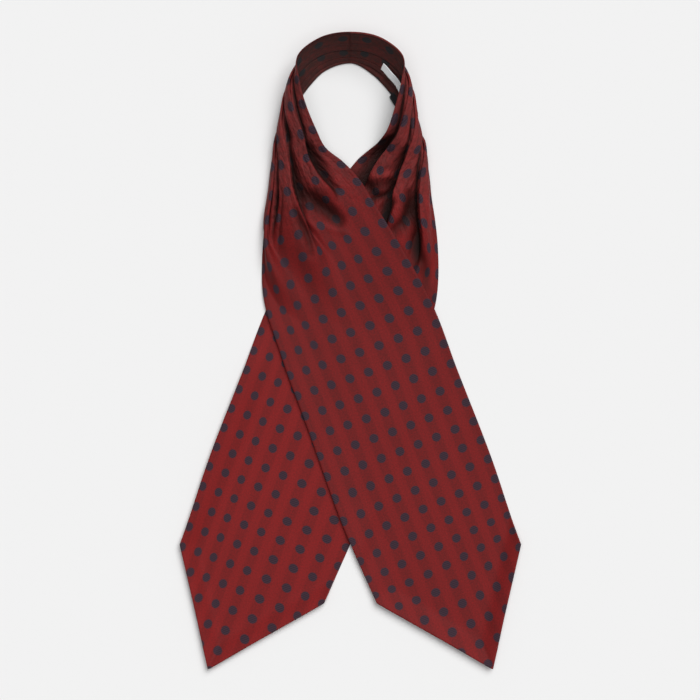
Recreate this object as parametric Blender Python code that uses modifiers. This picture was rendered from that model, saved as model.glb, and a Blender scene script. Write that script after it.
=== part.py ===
"""A silk day cravat laid out flat: two pointed halves of doubled silk, joined at the centre back.

Each half is one length of cloth. It is folded into four strips at the neck, with three knife pleats
that face the neck hole. Below the tack the pleats open out, and the cloth runs on as a flat blade with
a pointed end. The neck stands as a tilted ring: its inner edge is raised at the back and at the sides,
and its hem stays near the table. The over half crosses on top of the under half, which is its mirror.

X runs across the cravat, Y runs from the points to the centre back, Z is up from the table.
Lengths are in millimetres until a mesh is made.
"""

import math
from collections import namedtuple

import bpy
import numpy as np

MM = 0.001
MIRROR = np.array((-1, 1, 1))

# Driving dimensions, in millimetres.
WALL = 1.0  # doubled silk with its interlining
FLOOR = WALL / 2  # the middle of a wall that lies on the table
FOLD_GAP = 0.5  # between the layers of a pleat
SEAM_GAP = 0.3  # between the two halves at the centre back
LAYER = WALL + FOLD_GAP  # from one layer of cloth to the next
OPENED = 286.0  # cloth length at which the pleats are fully open
POINT_STARTS = 430.0  # cloth length at which the cross rows begin to turn into the point
CORNER = 530.0  # cloth length at the corners of a blade
POINT_DEPTH = 104.0  # from the corners of a blade to its tip
LAP_MARGIN = 7.0  # how far past the under half's edges the over half stays up
LAP_RAMP = 16.0  # how far it then takes to come down to the table
KNIFE_ARC = math.pi * LAYER / 2  # the turn of a pressed knife pleat
OPEN_ARC = 6.0  # the same length of cloth where the pleat is open
LABEL_WALL = 1.0
LABEL_GAP = 0.8  # under a label, which lies on a curved band

# How finely the cloth is drawn.
NECK_ROWS = 36  # cross rows from the centre back to where the pleats are open
BLADE_ROWS = 16  # cross rows from there to the corners
SECTION_POINTS = 161  # points of a section before it is folded
ARC_STEPS = 3  # faces round each turn of a pleat
STRIP_POINTS = 4  # points on the flat strip before each pleat
LABEL_ROWS, LABEL_POINTS = 9, 5
AHEAD = 1.0  # the step along the cloth that gives a section its direction
TUCK_STEP = 1.0  # the least way from a strip's last point to the pleat's first

# How the cloth lies. A row for each cross section, by its place along the cloth from the centre back:
# the inner edge, two points between, and the hem. Each is (x, y, z) on the over half.
Section = namedtuple("Section", "along edge crown side hem")
SHAPE = [
    Section(*row)
    for row in (
        (
            0,
            (-SEAM_GAP / 2, 305.2, 36.0),
            (-SEAM_GAP / 2, 296.3, 24.5),
            (-SEAM_GAP / 2, 287.2, 12.5),
            (-SEAM_GAP / 2, 278.7, 1.0),
        ),
        (26, (-31.4, 298.6, 37.0), (-30.1, 289.4, 25.5), (-27.8, 280.2, 13.0), (-24.6, 271.1, 1.0)),
        (46, (-50.4, 282.0, 40.0), (-49.3, 273.1, 28.0), (-44.8, 264.4, 14.0), (-38.4, 257.8, 1.0)),
        (66, (-48.8, 259.2, 39.0), (-55.9, 257.6, 30.0), (-58.6, 251.4, 15.0), (-49.8, 241.6, 1.0)),
        (86, (-42.4, 235.9, 34.0), (-54.3, 233.6, 30.0), (-64.3, 229.2, 15.0), (-58.6, 223.2, 1.0)),
        (106, (-32.7, 212.7, 25.0), (-49.3, 207.4, 26.0), (-69.6, 202.9, 15.0), (-67.4, 201.1, 1.0)),
        (126, (-23.8, 196.0, 17.0), (-46.0, 186.1, 19.0), (-69.7, 180.1, 13.0), (-75.6, 177.4, 1.0)),
        (146, (-6.8, 182.5, 13.0), (-36.0, 166.9, 15.5), (-70.5, 154.1, 11.0), (-78.6, 151.3, 1.0)),
        (166, (9.3, 165.1, 12.5), (-26.0, 147.9, 12.5), (-71.5, 130.9, 9.0), (-82.2, 127.1, 0.5)),
        (186, (22.1, 144.1, 12.0), (-14.0, 128.4, 10.0), (-73.0, 108.4, 7.0), (-84.6, 104.9, 0.5)),
        (226, (46.5, 105.1, 10.0), (3.5, 89.3, 6.5), (-72.0, 62.7, 3.5), (-84.9, 58.5, 0.5)),
        (286, (78.4, 47.2, 4.0), (29.6, 29.4, 2.4), (-18.7, 12.9, 1.2), (-67.5, -2.6, 0.5)),
        (356, (103.7, -18.4, 0.8), (55.1, -37.8, 0.5), (6.9, -56.1, 0.5), (-41.6, -74.2, 0.5)),
        (446, (136.4, -102.7, 0.5), (88.1, -123.8, 0.5), (39.9, -145.0, 0.5), (-8.4, -166.1, 0.5)),
        (530, (164.9, -186.3, 0.5), (118.4, -205.3, 0.5), (71.9, -224.3, 0.5), (25.4, -243.3, 0.5)),
        (634, (206.7, -279.2, 0.5), (160.2, -298.2, 0.5), (113.6, -317.2, 0.5), (67.1, -336.2, 0.5)),
    )
]

# The same for the under half, where it lies otherwise than the over half.
UNDER_SHAPE = [
    Section(*row)
    for row in (
        (26, (-31.4, 298.6, 37.0), (-29.6, 289.1, 25.5), (-26.0, 278.6, 13.0), (-21.4, 267.5, 1.0)),
        (46, (-50.2, 281.8, 40.0), (-48.0, 272.5, 28.0), (-42.5, 262.7, 14.0), (-34.7, 254.1, 1.0)),
        (66, (-48.8, 259.2, 39.0), (-54.4, 256.9, 30.0), (-56.2, 249.7, 15.0), (-46.2, 238.1, 1.0)),
        (86, (-43.0, 235.5, 34.0), (-52.8, 232.9, 30.0), (-61.8, 227.9, 15.0), (-55.8, 222.1, 1.0)),
        (106, (-34.6, 211.3, 25.0), (-49.3, 206.9, 26.0), (-68.2, 202.4, 15.0), (-66.2, 200.7, 1.0)),
        (126, (-25.0, 198.9, 12.5), (-46.0, 186.9, 16.5), (-69.2, 180.1, 13.0), (-75.2, 177.4, 1.0)),
        (146, (-8.2, 185.3, 3.0), (-36.0, 167.4, 8.0), (-70.5, 154.1, 10.5), (-78.3, 151.3, 1.0)),
        (166, (9.3, 165.1, 0.8), (-26.0, 147.9, 3.5), (-71.5, 130.9, 7.0), (-82.0, 127.1, 0.5)),
        (186, (22.1, 144.1, 0.5), (-14.0, 128.4, 0.8), (-73.0, 108.4, 4.0), (-84.4, 104.9, 0.5)),
        (226, (46.5, 105.1, 0.5), (3.5, 89.3, 0.5), (-72.0, 62.7, 0.8), (-84.3, 58.5, 0.5)),
        (286, (78.4, 47.2, 0.5), (29.6, 29.4, 0.5), (-18.7, 12.9, 0.5), (-67.5, -2.6, 0.5)),
        (356, (103.7, -18.4, 0.5), (55.1, -37.8, 0.5), (6.9, -56.1, 0.5), (-41.6, -74.2, 0.5)),
    )
]

# The under half's blade has a straight inner edge and a straight hem between these sections.
STRAIGHT_EDGE = (286, 226)
STRAIGHT_HEM = (286, 446)

# The three pleats of a half, by place along the cloth: how far the fold stands from the inner edge,
# how far the cloth turns back on itself (180 is pressed flat, 0 is no fold) and the length turned back.
Pleats = namedtuple("Pleats", "along at turn lap")
OVER_PLEATS = [
    Pleats(*row)
    for row in (
        (0, (10.0, 22.5, 34.0), (180, 180, 180), (7.0, 6.0, 3.5)),
        (86, (12.0, 28.0, 39.5), (180, 180, 180), (8.0, 7.0, 3.0)),
        (106, (13.5, 31.5, 44.5), (180, 180, 180), (9.0, 7.0, 4.0)),
        (126, (19.0, 37.5, 52.5), (180, 180, 180), (8.5, 8.5, 5.0)),
        (146, (27.5, 54.5, 73.5), (150, 165, 170), (4.0, 8.0, 5.5)),
        (166, (28.5, 64.5, 92.5), (40, 130, 150), (4.0, 6.0, 5.5)),
        (186, (33.0, 68.0, 106.0), (0, 95, 115), (6.0, 4.0, 4.0)),
        (206, (35.0, 72.0, 113.0), (0, 50, 60), (7.0, 6.0, 5.0)),
        (246, (37.0, 75.0, 115.0), (0, 8, 10), (7.0, 7.0, 7.0)),
        (286, (38.0, 77.0, 116.0), (0, 0, 0), (7.0, 7.0, 7.0)),
        (634, (38.0, 76.0, 114.0), (0, 0, 0), (7.0, 7.0, 7.0)),
    )
]
UNDER_PLEATS = [
    Pleats(*row)
    for row in (
        (0, (10.0, 22.5, 34.0), (180, 180, 180), (7.0, 6.0, 3.5)),
        (86, (9.5, 22.5, 36.5), (180, 180, 180), (7.0, 7.0, 3.5)),
        (106, (10.8, 25.5, 41.0), (180, 180, 180), (8.0, 7.5, 4.0)),
        (126, (12.0, 32.0, 48.5), (180, 180, 180), (8.5, 8.5, 5.5)),
        (146, (18.5, 45.5, 66.5), (120, 160, 170), (2.5, 7.0, 6.0)),
        (166, (24.0, 56.0, 82.5), (15, 95, 145), (4.0, 3.5, 5.5)),
        (186, (30.0, 63.0, 97.0), (0, 30, 90), (6.0, 4.0, 3.5)),
        (206, (36.0, 70.0, 108.0), (0, 0, 30), (7.0, 6.0, 4.0)),
        (246, (37.0, 75.0, 114.0), (0, 0, 0), (7.0, 7.0, 7.0)),
        (286, (38.0, 77.0, 116.0), (0, 0, 0), (7.0, 7.0, 7.0)),
        (634, (38.0, 76.0, 114.0), (0, 0, 0), (7.0, 7.0, 7.0)),
    )
]

# Two small pieces sewn to the inner face of the under half's neckband: their stretch along the cloth
# and across it from the inner edge.
LABEL_ALONG, LABEL_ACROSS = (33.2, 70.2), (26.1, 34.6)
TAG_ALONG, TAG_ACROSS = (52.0, 73.0), (42.5, 49.8)

SILK_RED = (0.150, 0.018, 0.020)
LABEL_WHITE = (0.80, 0.80, 0.78)
TAG_BLACK = (0.012, 0.011, 0.013)
SILK_ROUGHNESS, TAPE_ROUGHNESS = 0.45, 0.6


def through(places, known, values):
    """Smooth curves through the table's values: cubic pieces whose slopes come from their neighbours."""
    known = np.asarray(known, float)
    values = np.asarray(values, float).reshape(len(known), -1)
    steps = np.diff(known)
    rises = np.diff(values, axis=0) / steps[:, None]
    slopes = np.empty_like(values)
    weight = (steps[1:] / (steps[1:] + steps[:-1]))[:, None]
    slopes[1:-1] = weight * rises[:-1] + (1 - weight) * rises[1:]
    slopes[0] = rises[0]
    slopes[-1] = rises[-1]
    places = np.atleast_1d(places).astype(float)
    piece = np.clip(np.searchsorted(known, places, side="right") - 1, 0, len(steps) - 1)
    step = steps[piece][:, None]
    t = (places[:, None] - known[piece][:, None]) / step
    return (
        (2 * t**3 - 3 * t**2 + 1) * values[piece]
        + (t**3 - 2 * t**2 + t) * step * slopes[piece]
        + (3 * t**2 - 2 * t**3) * values[piece + 1]
        + (t**3 - t**2) * step * slopes[piece + 1]
    )


def ease(t):
    """0 to 1 with soft ends."""
    t = np.clip(t, 0, 1)
    return t * t * (3 - 2 * t)


def shape_table(under):
    """The places along the cloth and the four guide points at each, with a mirrored row before the seam."""
    shape = {row.along: row[1:] for row in SHAPE}
    if under:
        shape.update({row.along: row[1:] for row in UNDER_SHAPE})
    places = list(shape)
    guides = np.array(list(shape.values()), float)
    places.insert(0, -places[1])
    return places, np.concatenate([[guides[1] * MIRROR], guides])


def beside(x, y, start, end):
    """How far a point lies to the left of the line from start to end."""
    run = np.array(end[:2]) - np.array(start[:2])
    run = run / np.linalg.norm(run)
    return run[0] * (y - start[1]) - run[1] * (x - start[0])


def resting_height(x, y):
    """The middle of the over half's wall where it lies on the table, or on the under half's blade."""
    mirrored = {row.along: np.array(row[1:]) * MIRROR for row in SHAPE}
    outside_edge = beside(x, y, *(mirrored[place][0] for place in STRAIGHT_EDGE))
    outside_hem = beside(x, y, *(mirrored[place][-1] for place in STRAIGHT_HEM))
    inside = LAP_MARGIN - np.maximum(outside_edge, outside_hem)
    return FLOOR + LAYER * ease(1 + inside / LAP_RAMP)


def base_row(along, under):
    """A cross section of the cloth's middle before it is folded."""
    places, guides = shape_table(under)
    points = through(along, places, guides.reshape(len(places), -1)).reshape(-1, 3)
    chords = np.linalg.norm(np.diff(points, axis=0), axis=1)
    at = np.concatenate([[0], np.cumsum(chords)])
    return through(np.linspace(0, at[-1], SECTION_POINTS), at, points)


def row_frame(along, under):
    """The section's points, their distances from the inner edge, and the outer face's normals."""
    here = base_row(along, under)
    ahead = base_row(along + AHEAD, under)
    behind = base_row(along - AHEAD, under)
    across = np.gradient(here, axis=0)
    normals = np.cross(across, ahead - behind)
    steps = np.linalg.norm(np.diff(here, axis=0), axis=1)
    return here, np.concatenate([[0], np.cumsum(steps)]), normals


def raised(frame, across, height):
    """Points at the given distances across a section, raised along its normals."""
    points, distances, normals = frame
    place = np.stack([np.interp(across, distances, points[:, i]) for i in range(3)], axis=1)
    normal = np.stack([np.interp(across, distances, normals[:, i]) for i in range(3)], axis=1)
    normal /= np.linalg.norm(normal, axis=1)[:, None]
    return place + normal * height


def fold_path(at, turn, lap):
    """One pleat in section, as (distance from the edge, height) points: a turn, the lap and a turn back."""
    turn = math.radians(turn)
    arc = KNIFE_ARC + (OPEN_ARC - KNIFE_ARC) * (1 - turn / math.pi)
    step = arc / ARC_STEPS
    turning = (np.arange(ARC_STEPS) + 0.5) / ARC_STEPS * turn
    headings = np.concatenate([turning, [turn, turn], turning[::-1]])
    lengths = np.concatenate([[step] * ARC_STEPS, [lap / 2, lap / 2], [step] * ARC_STEPS])
    moves = np.stack([np.cos(headings), np.sin(headings)], axis=1) * lengths[:, None]
    path = np.concatenate([[(0, 0)], np.cumsum(moves, axis=0)])
    turn_back = path[ARC_STEPS + 2 :]
    path[:, 0] += at - turn_back[:, 0].min()
    return path


def strip_between(pleat, following, width):
    """The flat strip after a pleat, as points between its last point and the next pleat's first one."""
    start, height = pleat[-1]
    lap_end = pleat[0][0]
    pressed = np.clip((lap_end - start) / LAYER, 0, 1)
    if following is None:
        end, tuck = width, width
    else:
        end, tuck = following[0][0], min(following[0][0], following[:, 0].min())
    held = start + (lap_end - start + WALL / 2) * pressed
    down = end + (tuck - end) * pressed
    # Over a pressed lap the points stand above those of the lap, so that the layers stay parallel.
    if following is None:
        flat = [(start + lap_end) / 2, held, (held + down) / 2]
    else:
        flat = [(start + lap_end) / 2, held, down, (tuck + end) / 2]
    steps = len(flat) + 1
    open_cloth = start + (end - start) * np.arange(1, steps) / steps
    places = open_cloth + (np.array(flat) - open_cloth) * pressed
    return np.stack([places, height * (1 - ease((places - held) / (down - held)))], axis=1)


def section_path(along, pleats, width):
    """The whole folded section from the inner edge to the hem, as (distance, height) points."""
    places = [row.along for row in pleats]
    at, turn, lap = (through(along, places, [row[column] for row in pleats])[0] for column in (1, 2, 3))
    folds = [fold_path(*fold) for fold in zip(at, np.clip(turn, 0, 180), lap)]
    first = folds[0][0][0]
    tuck = min(at[0], first - TUCK_STEP)
    path = [np.array([(0, 0), (tuck / 2, 0), (tuck, 0), ((tuck + first) / 2, 0)])]
    for fold, following in zip(folds, folds[1:] + [None]):
        path += [fold, strip_between(fold, following, width)]
    path.append(np.array([(width, 0)]))
    return np.concatenate(path)


def folded_row(along, under):
    """A cross row of the folded cloth's middle surface, from the inner edge to the hem."""
    frame = row_frame(along, under)
    width = frame[1][-1]
    path = section_path(along, UNDER_PLEATS if under else OVER_PLEATS, width)
    return raised(frame, path[:, 0], path[:, 1:2])


def half_rows(under):
    """All the cross rows of a half, from the centre back to its pointed end."""
    neck = np.linspace(0, OPENED, NECK_ROWS, endpoint=False)
    blade = np.linspace(OPENED, CORNER, BLADE_ROWS + 1)
    to_tip = folded_row(CORNER + POINT_DEPTH, under) - folded_row(CORNER, under)
    rows = []
    for along in np.concatenate([neck, blade]):
        row = folded_row(along, under)
        width = np.linalg.norm(row - row[0], axis=1)
        fraction = width / width[-1]
        # The last cross rows bend into the chevron of the pointed end.
        share = max(0, (along - POINT_STARTS) / (CORNER - POINT_STARTS))
        depth = share * (1 - np.abs(2 * fraction - 1))
        rows.append(row + to_tip * depth[:, None])
    rows = np.array(rows)
    rests_at = FLOOR if under else resting_height(rows[..., 0], rows[..., 1])
    rows[..., 2] = np.maximum(rows[..., 2], rests_at)
    return rows


def lap_columns():
    """The columns of faces on the laps, which run back under their strips."""
    pleat_points = 2 * ARC_STEPS + 3
    starts = [STRIP_POINTS + number * (STRIP_POINTS + pleat_points) for number in range(3)]
    return [start + ARC_STEPS + half for start in starts for half in (0, 1)]


def cloth(name, rows, wall, material, outward, turned_columns=()):
    """A grid of cross rows as one wall of cloth, its middle on the rows."""
    count, across = rows.shape[:2]
    faces = []
    for i in range(count - 1):
        for j in range(across - 1):
            near, beside_near = i * across + j, i * across + j + 1
            far, beside_far = near + across, beside_near + across
            # A lap's quads are halved the other way, so that they stay parallel to the strip above.
            if j in turned_columns:
                halves = [(near, beside_near, far), (beside_near, beside_far, far)]
            else:
                halves = [(near, beside_near, beside_far), (near, beside_far, far)]
            faces += [half if outward else half[::-1] for half in halves]
    mesh = bpy.data.meshes.new(name)
    mesh.from_pydata((rows.reshape(-1, 3) * MM).tolist(), [], faces)
    mesh.materials.append(material)
    mesh.shade_smooth()
    piece = bpy.data.objects.new(name, mesh)
    cravat.objects.link(piece)
    solid = piece.modifiers.new("wall", "SOLIDIFY")
    solid.thickness = wall * MM
    solid.offset = 0


def patch_rows(along_range, across_range):
    """Rows for a small piece that lies on the inner face of the under half's neckband."""
    rows = []
    for along in np.linspace(*along_range, LABEL_ROWS):
        frame = row_frame(along, True)
        points, distances, _ = frame
        across = np.linspace(*across_range, LABEL_POINTS)
        row = raised(frame, across, -(WALL + LABEL_WALL) / 2 - LABEL_GAP)
        # Past the hem the piece runs on level, clear of the table.
        level = (points[-1] - points[-2]) * (1, 1, 0)
        past = np.maximum(across - distances[-1], 0)
        rows.append(row + past[:, None] * level / np.linalg.norm(level))
    return np.array(rows)


def finish(name, colour, roughness):
    material = bpy.data.materials.new(name)
    material.use_nodes = True
    shader = material.node_tree.nodes["Principled BSDF"]
    shader.inputs["Base Color"].default_value = (*colour, 1)
    shader.inputs["Roughness"].default_value = roughness
    shader.inputs["Metallic"].default_value = 0
    return material


for leftover in list(bpy.data.objects):
    bpy.data.objects.remove(leftover)

cravat = bpy.data.collections.new("silk_cravat")
bpy.context.scene.collection.children.link(cravat)

red = finish("red_silk", SILK_RED, SILK_ROUGHNESS)
cloth("over_half", half_rows(False), WALL, red, False, lap_columns())
cloth("under_half", half_rows(True) * MIRROR, WALL, red, True, lap_columns())

white = finish("label_white", LABEL_WHITE, TAPE_ROUGHNESS)
cloth("maker_label", patch_rows(LABEL_ALONG, LABEL_ACROSS) * MIRROR, LABEL_WALL, white, True)

black = finish("tag_black", TAG_BLACK, TAPE_ROUGHNESS)
cloth("care_tag", patch_rows(TAG_ALONG, TAG_ACROSS) * MIRROR, LABEL_WALL, black, True)
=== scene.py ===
# %% [markdown]
# # A silk day cravat, laid out on a table
#
# A day cravat is two long pieces of doubled silk, sewn end to end at the back of the neck. At the neck
# each piece is folded into three knife pleats, so that a band of cloth as wide as a hand becomes a
# collar as narrow as two fingers. Below a small tack the pleats are free, and the silk opens out into
# a wide blade with a point.
#
# This lesson builds the visible cloth in Blender. It loads the plain solid model first, as a fixed
# frame, and then lays finer silk on it. All lengths here are millimetres until a mesh is made.

# %% Load the frame
import math

import bpy
import numpy as np
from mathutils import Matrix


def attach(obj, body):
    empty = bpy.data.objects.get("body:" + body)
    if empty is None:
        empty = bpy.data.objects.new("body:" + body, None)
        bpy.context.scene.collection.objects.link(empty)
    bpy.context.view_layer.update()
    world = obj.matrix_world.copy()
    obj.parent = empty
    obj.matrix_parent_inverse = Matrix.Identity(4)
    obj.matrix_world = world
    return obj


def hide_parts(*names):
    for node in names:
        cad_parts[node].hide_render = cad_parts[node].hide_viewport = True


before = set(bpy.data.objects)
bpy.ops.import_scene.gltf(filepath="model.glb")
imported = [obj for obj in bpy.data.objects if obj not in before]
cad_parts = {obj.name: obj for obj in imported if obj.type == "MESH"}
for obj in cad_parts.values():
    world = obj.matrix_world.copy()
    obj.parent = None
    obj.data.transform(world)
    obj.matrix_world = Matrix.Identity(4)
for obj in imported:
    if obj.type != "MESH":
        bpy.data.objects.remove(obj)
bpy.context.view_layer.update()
MM = 0.001
print("solids:", sorted(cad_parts))

# %% [markdown]
# ## How the cloth lies
#
# The easiest way to describe a long piece of cloth is by cross sections. Each row below is one line
# across the cloth, at a known length of cloth from the seam at the centre back. It gives four places
# that the line passes through: the inner edge, which goes round the neck, then the crown, the side and
# the hem. The neck stands up as a tilted ring, so the first rows are high at the inner edge and low at
# the hem. Further down, the blade lies flat on the table.
#
# A mesh could also be drawn freehand or draped by a cloth simulation. Sections are better here, because
# the outline, the pleats and the pattern of the silk all follow the same lines across the cloth.

# %% The sections
SECTIONS = [
    # along, inner edge, crown, side, hem
    (0, (0.0, 305.2, 36.0), (0.0, 296.3, 24.5), (0.0, 287.2, 12.5), (0.0, 278.7, 1.0)),
    (26, (-31.4, 298.6, 37.0), (-30.1, 289.4, 25.5), (-27.8, 280.2, 13.0), (-24.6, 271.1, 1.0)),
    (46, (-50.4, 282.0, 40.0), (-49.3, 273.1, 28.0), (-44.8, 264.4, 14.0), (-38.4, 257.8, 1.0)),
    (66, (-48.8, 259.2, 39.0), (-55.9, 257.6, 30.0), (-58.6, 251.4, 15.0), (-49.8, 241.6, 1.0)),
    (86, (-42.4, 235.9, 34.0), (-54.3, 233.6, 30.0), (-64.3, 229.2, 15.0), (-58.6, 223.2, 1.0)),
    (106, (-32.7, 212.7, 25.0), (-49.3, 207.4, 26.0), (-69.6, 202.9, 15.0), (-67.4, 201.1, 1.0)),
    (126, (-23.8, 196.0, 17.0), (-46.0, 186.1, 19.0), (-69.7, 180.1, 13.0), (-75.6, 177.4, 1.0)),
    (146, (-6.8, 182.5, 13.0), (-36.0, 166.9, 15.5), (-70.5, 154.1, 11.0), (-78.6, 151.3, 1.0)),
    (166, (9.3, 165.1, 12.5), (-26.0, 147.9, 12.5), (-71.5, 130.9, 9.0), (-82.2, 127.1, 0.5)),
    (186, (22.1, 144.1, 12.0), (-14.0, 128.4, 10.0), (-73.0, 108.4, 7.0), (-84.6, 104.9, 0.5)),
    (226, (46.5, 105.1, 10.0), (3.5, 89.3, 6.5), (-72.0, 62.7, 3.5), (-84.9, 58.5, 0.5)),
    (286, (78.4, 47.2, 4.0), (29.6, 29.4, 2.4), (-18.7, 12.9, 1.2), (-67.5, -2.6, 0.5)),
    (356, (103.7, -18.4, 0.8), (55.1, -37.8, 0.5), (6.9, -56.1, 0.5), (-41.6, -74.2, 0.5)),
    (446, (136.4, -102.7, 0.5), (88.1, -123.8, 0.5), (39.9, -145.0, 0.5), (-8.4, -166.1, 0.5)),
    (530, (164.9, -186.3, 0.5), (118.4, -205.3, 0.5), (71.9, -224.3, 0.5), (25.4, -243.3, 0.5)),
    (634, (206.7, -279.2, 0.5), (160.2, -298.2, 0.5), (113.6, -317.2, 0.5), (67.1, -336.2, 0.5)),
]
# The under half lies lower where the over half crosses it, and its neck is a little narrower.
UNDER_SECTIONS = [
    (26, (-31.4, 298.6, 37.0), (-29.6, 289.1, 25.5), (-26.0, 278.6, 13.0), (-21.4, 267.5, 1.0)),
    (46, (-50.2, 281.8, 40.0), (-48.0, 272.5, 28.0), (-42.5, 262.7, 14.0), (-34.7, 254.1, 1.0)),
    (66, (-48.8, 259.2, 39.0), (-54.4, 256.9, 30.0), (-56.2, 249.7, 15.0), (-46.2, 238.1, 1.0)),
    (86, (-43.0, 235.5, 34.0), (-52.8, 232.9, 30.0), (-61.8, 227.9, 15.0), (-55.8, 222.1, 1.0)),
    (106, (-34.6, 211.3, 25.0), (-49.3, 206.9, 26.0), (-68.2, 202.4, 15.0), (-66.2, 200.7, 1.0)),
    (116, (-29.8, 204.8, 18.5), (-48.1, 196.5, 21.5), (-69.0, 191.3, 14.2), (-71.2, 189.3, 1.0)),
    (126, (-25.0, 200.0, 12.5), (-46.0, 186.9, 16.5), (-69.2, 180.1, 13.0), (-75.2, 177.4, 1.0)),
    (136, (-16.6, 193.6, 7.5), (-41.4, 177.1, 11.9), (-69.9, 167.2, 11.8), (-77.1, 164.4, 1.0)),
    (146, (-8.2, 186.7, 3.0), (-36.0, 167.4, 8.0), (-70.5, 154.1, 10.5), (-78.3, 151.3, 1.0)),
    (166, (9.3, 165.1, 0.8), (-26.0, 147.9, 3.5), (-71.5, 130.9, 7.0), (-82.0, 127.1, 0.5)),
    (186, (22.1, 144.1, 0.5), (-14.0, 128.4, 0.8), (-73.0, 108.4, 4.0), (-84.4, 104.9, 0.5)),
    (226, (46.5, 105.1, 0.5), (3.5, 89.3, 0.5), (-72.0, 62.7, 0.8), (-84.3, 58.5, 0.5)),
    (286, (78.4, 47.2, 0.5), (29.6, 29.4, 0.5), (-18.7, 12.9, 0.5), (-67.5, -2.6, 0.5)),
    (356, (103.7, -18.4, 0.5), (55.1, -37.8, 0.5), (6.9, -56.1, 0.5), (-41.6, -74.2, 0.5)),
]
OPENED = 286  # cloth length at which the pleats are fully open
POINT_STARTS = 430  # from here the lines across begin to bend into the point
CORNER = 530  # cloth length at the blade's corners
POINT_DEPTH = 104  # from the corners to the tip
MIRROR = np.array((-1, 1, 1))
print("sections:", len(SECTIONS), "from the centre back to past the tip")


# %% Smooth curves through a table
def through(places, known, values):
    """Smooth curves through the rows of a table, each slope taken from the neighbouring rows."""
    known = np.asarray(known, float)
    values = np.asarray(values, float).reshape(len(known), -1)
    steps = np.diff(known)
    rises = np.diff(values, axis=0) / steps[:, None]
    slopes = np.empty_like(values)
    weight = (steps[1:] / (steps[1:] + steps[:-1]))[:, None]
    slopes[1:-1] = weight * rises[:-1] + (1 - weight) * rises[1:]
    slopes[0] = rises[0]
    slopes[-1] = rises[-1]
    places = np.atleast_1d(places).astype(float)
    piece = np.clip(np.searchsorted(known, places, side="right") - 1, 0, len(steps) - 1)
    step = steps[piece][:, None]
    t = (places[:, None] - known[piece][:, None]) / step
    return (
        (2 * t**3 - 3 * t**2 + 1) * values[piece]
        + (t**3 - 2 * t**2 + t) * step * slopes[piece]
        + (3 * t**2 - 2 * t**3) * values[piece + 1]
        + (t**3 - t**2) * step * slopes[piece + 1]
    )


def ease(t):
    """0 to 1 with soft ends."""
    t = np.clip(t, 0, 1)
    return t * t * (3 - 2 * t)


def guide_table(under):
    """The places and the guide points of a half's sections, in order along the cloth."""
    shape = {row[0]: row[1:] for row in SECTIONS}
    if under:
        shape.update({row[0]: row[1:] for row in UNDER_SECTIONS})
    places = sorted(shape)
    guides = np.array([shape[place] for place in places], float)
    # One mirrored row before the seam keeps the band smooth across the centre back.
    places.insert(0, -places[1])
    return places, np.concatenate([[guides[1] * MIRROR], guides])


print("the under half's curves pass through", len(guide_table(True)[0]), "rows of guide points")

# %% [markdown]
# ## One section, before it is pleated
#
# Each section is a smooth line through its four places. We also need to know which way is out of the
# cloth at each point, because the pleats and the creases stand up from it. The cross product of two
# directions that lie in the cloth gives that: one along the section, one towards the next section.

# %% Section frames
SECTION_POINTS = 241
AHEAD = 1.0  # how far to look along the cloth for its direction


def section_line(along, under):
    """Evenly spaced points of the smooth line across the cloth."""
    places, guides = guide_table(under)
    points = through(along, places, guides.reshape(len(places), -1)).reshape(-1, 3)
    chords = np.linalg.norm(np.diff(points, axis=0), axis=1)
    at = np.concatenate([[0], np.cumsum(chords)])
    return through(np.linspace(0, at[-1], SECTION_POINTS), at, points)


def section_frame(along, under):
    """The section's points, their distances from the inner edge, and the directions out of the cloth."""
    here = section_line(along, under)
    towards = section_line(along + AHEAD, under) - section_line(along - AHEAD, under)
    normals = np.cross(np.gradient(here, axis=0), towards)
    steps = np.linalg.norm(np.diff(here, axis=0), axis=1)
    return here, np.concatenate([[0], np.cumsum(steps)]), normals


def raised(frame_here, across, height):
    """Points at the given distances across a section, raised along its normals."""
    points, distances, normals = frame_here
    place = np.stack([np.interp(across, distances, points[:, i]) for i in range(3)], axis=1)
    normal = np.stack([np.interp(across, distances, normals[:, i]) for i in range(3)], axis=1)
    normal /= np.linalg.norm(normal, axis=1)[:, None]
    return place + normal * np.asarray(height)[..., None]


for along in (0, 86, 186, 446):
    print("at", along, "mm the section is", round(section_frame(along, False)[1][-1]), "mm across")

# %% [markdown]
# ## Knife pleats
#
# A knife pleat is a flat fold: the cloth turns back on itself, runs back a little way, and turns
# forward again on top. Seen in section it is a flat letter Z. The table says, for each pleat and at
# each length of cloth, how far its fold stands from the inner edge, how far the cloth turns (180
# degrees is pressed flat, 0 is no fold) and how much cloth runs back. Between the tack and the open
# blade the turn falls to nothing, which is how a pleat melts into soft folds.
#
# The last column is where each fold comes on the flat cloth. The silk's pattern needs it, because the
# dots hidden inside a pleat must stay hidden.

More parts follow.
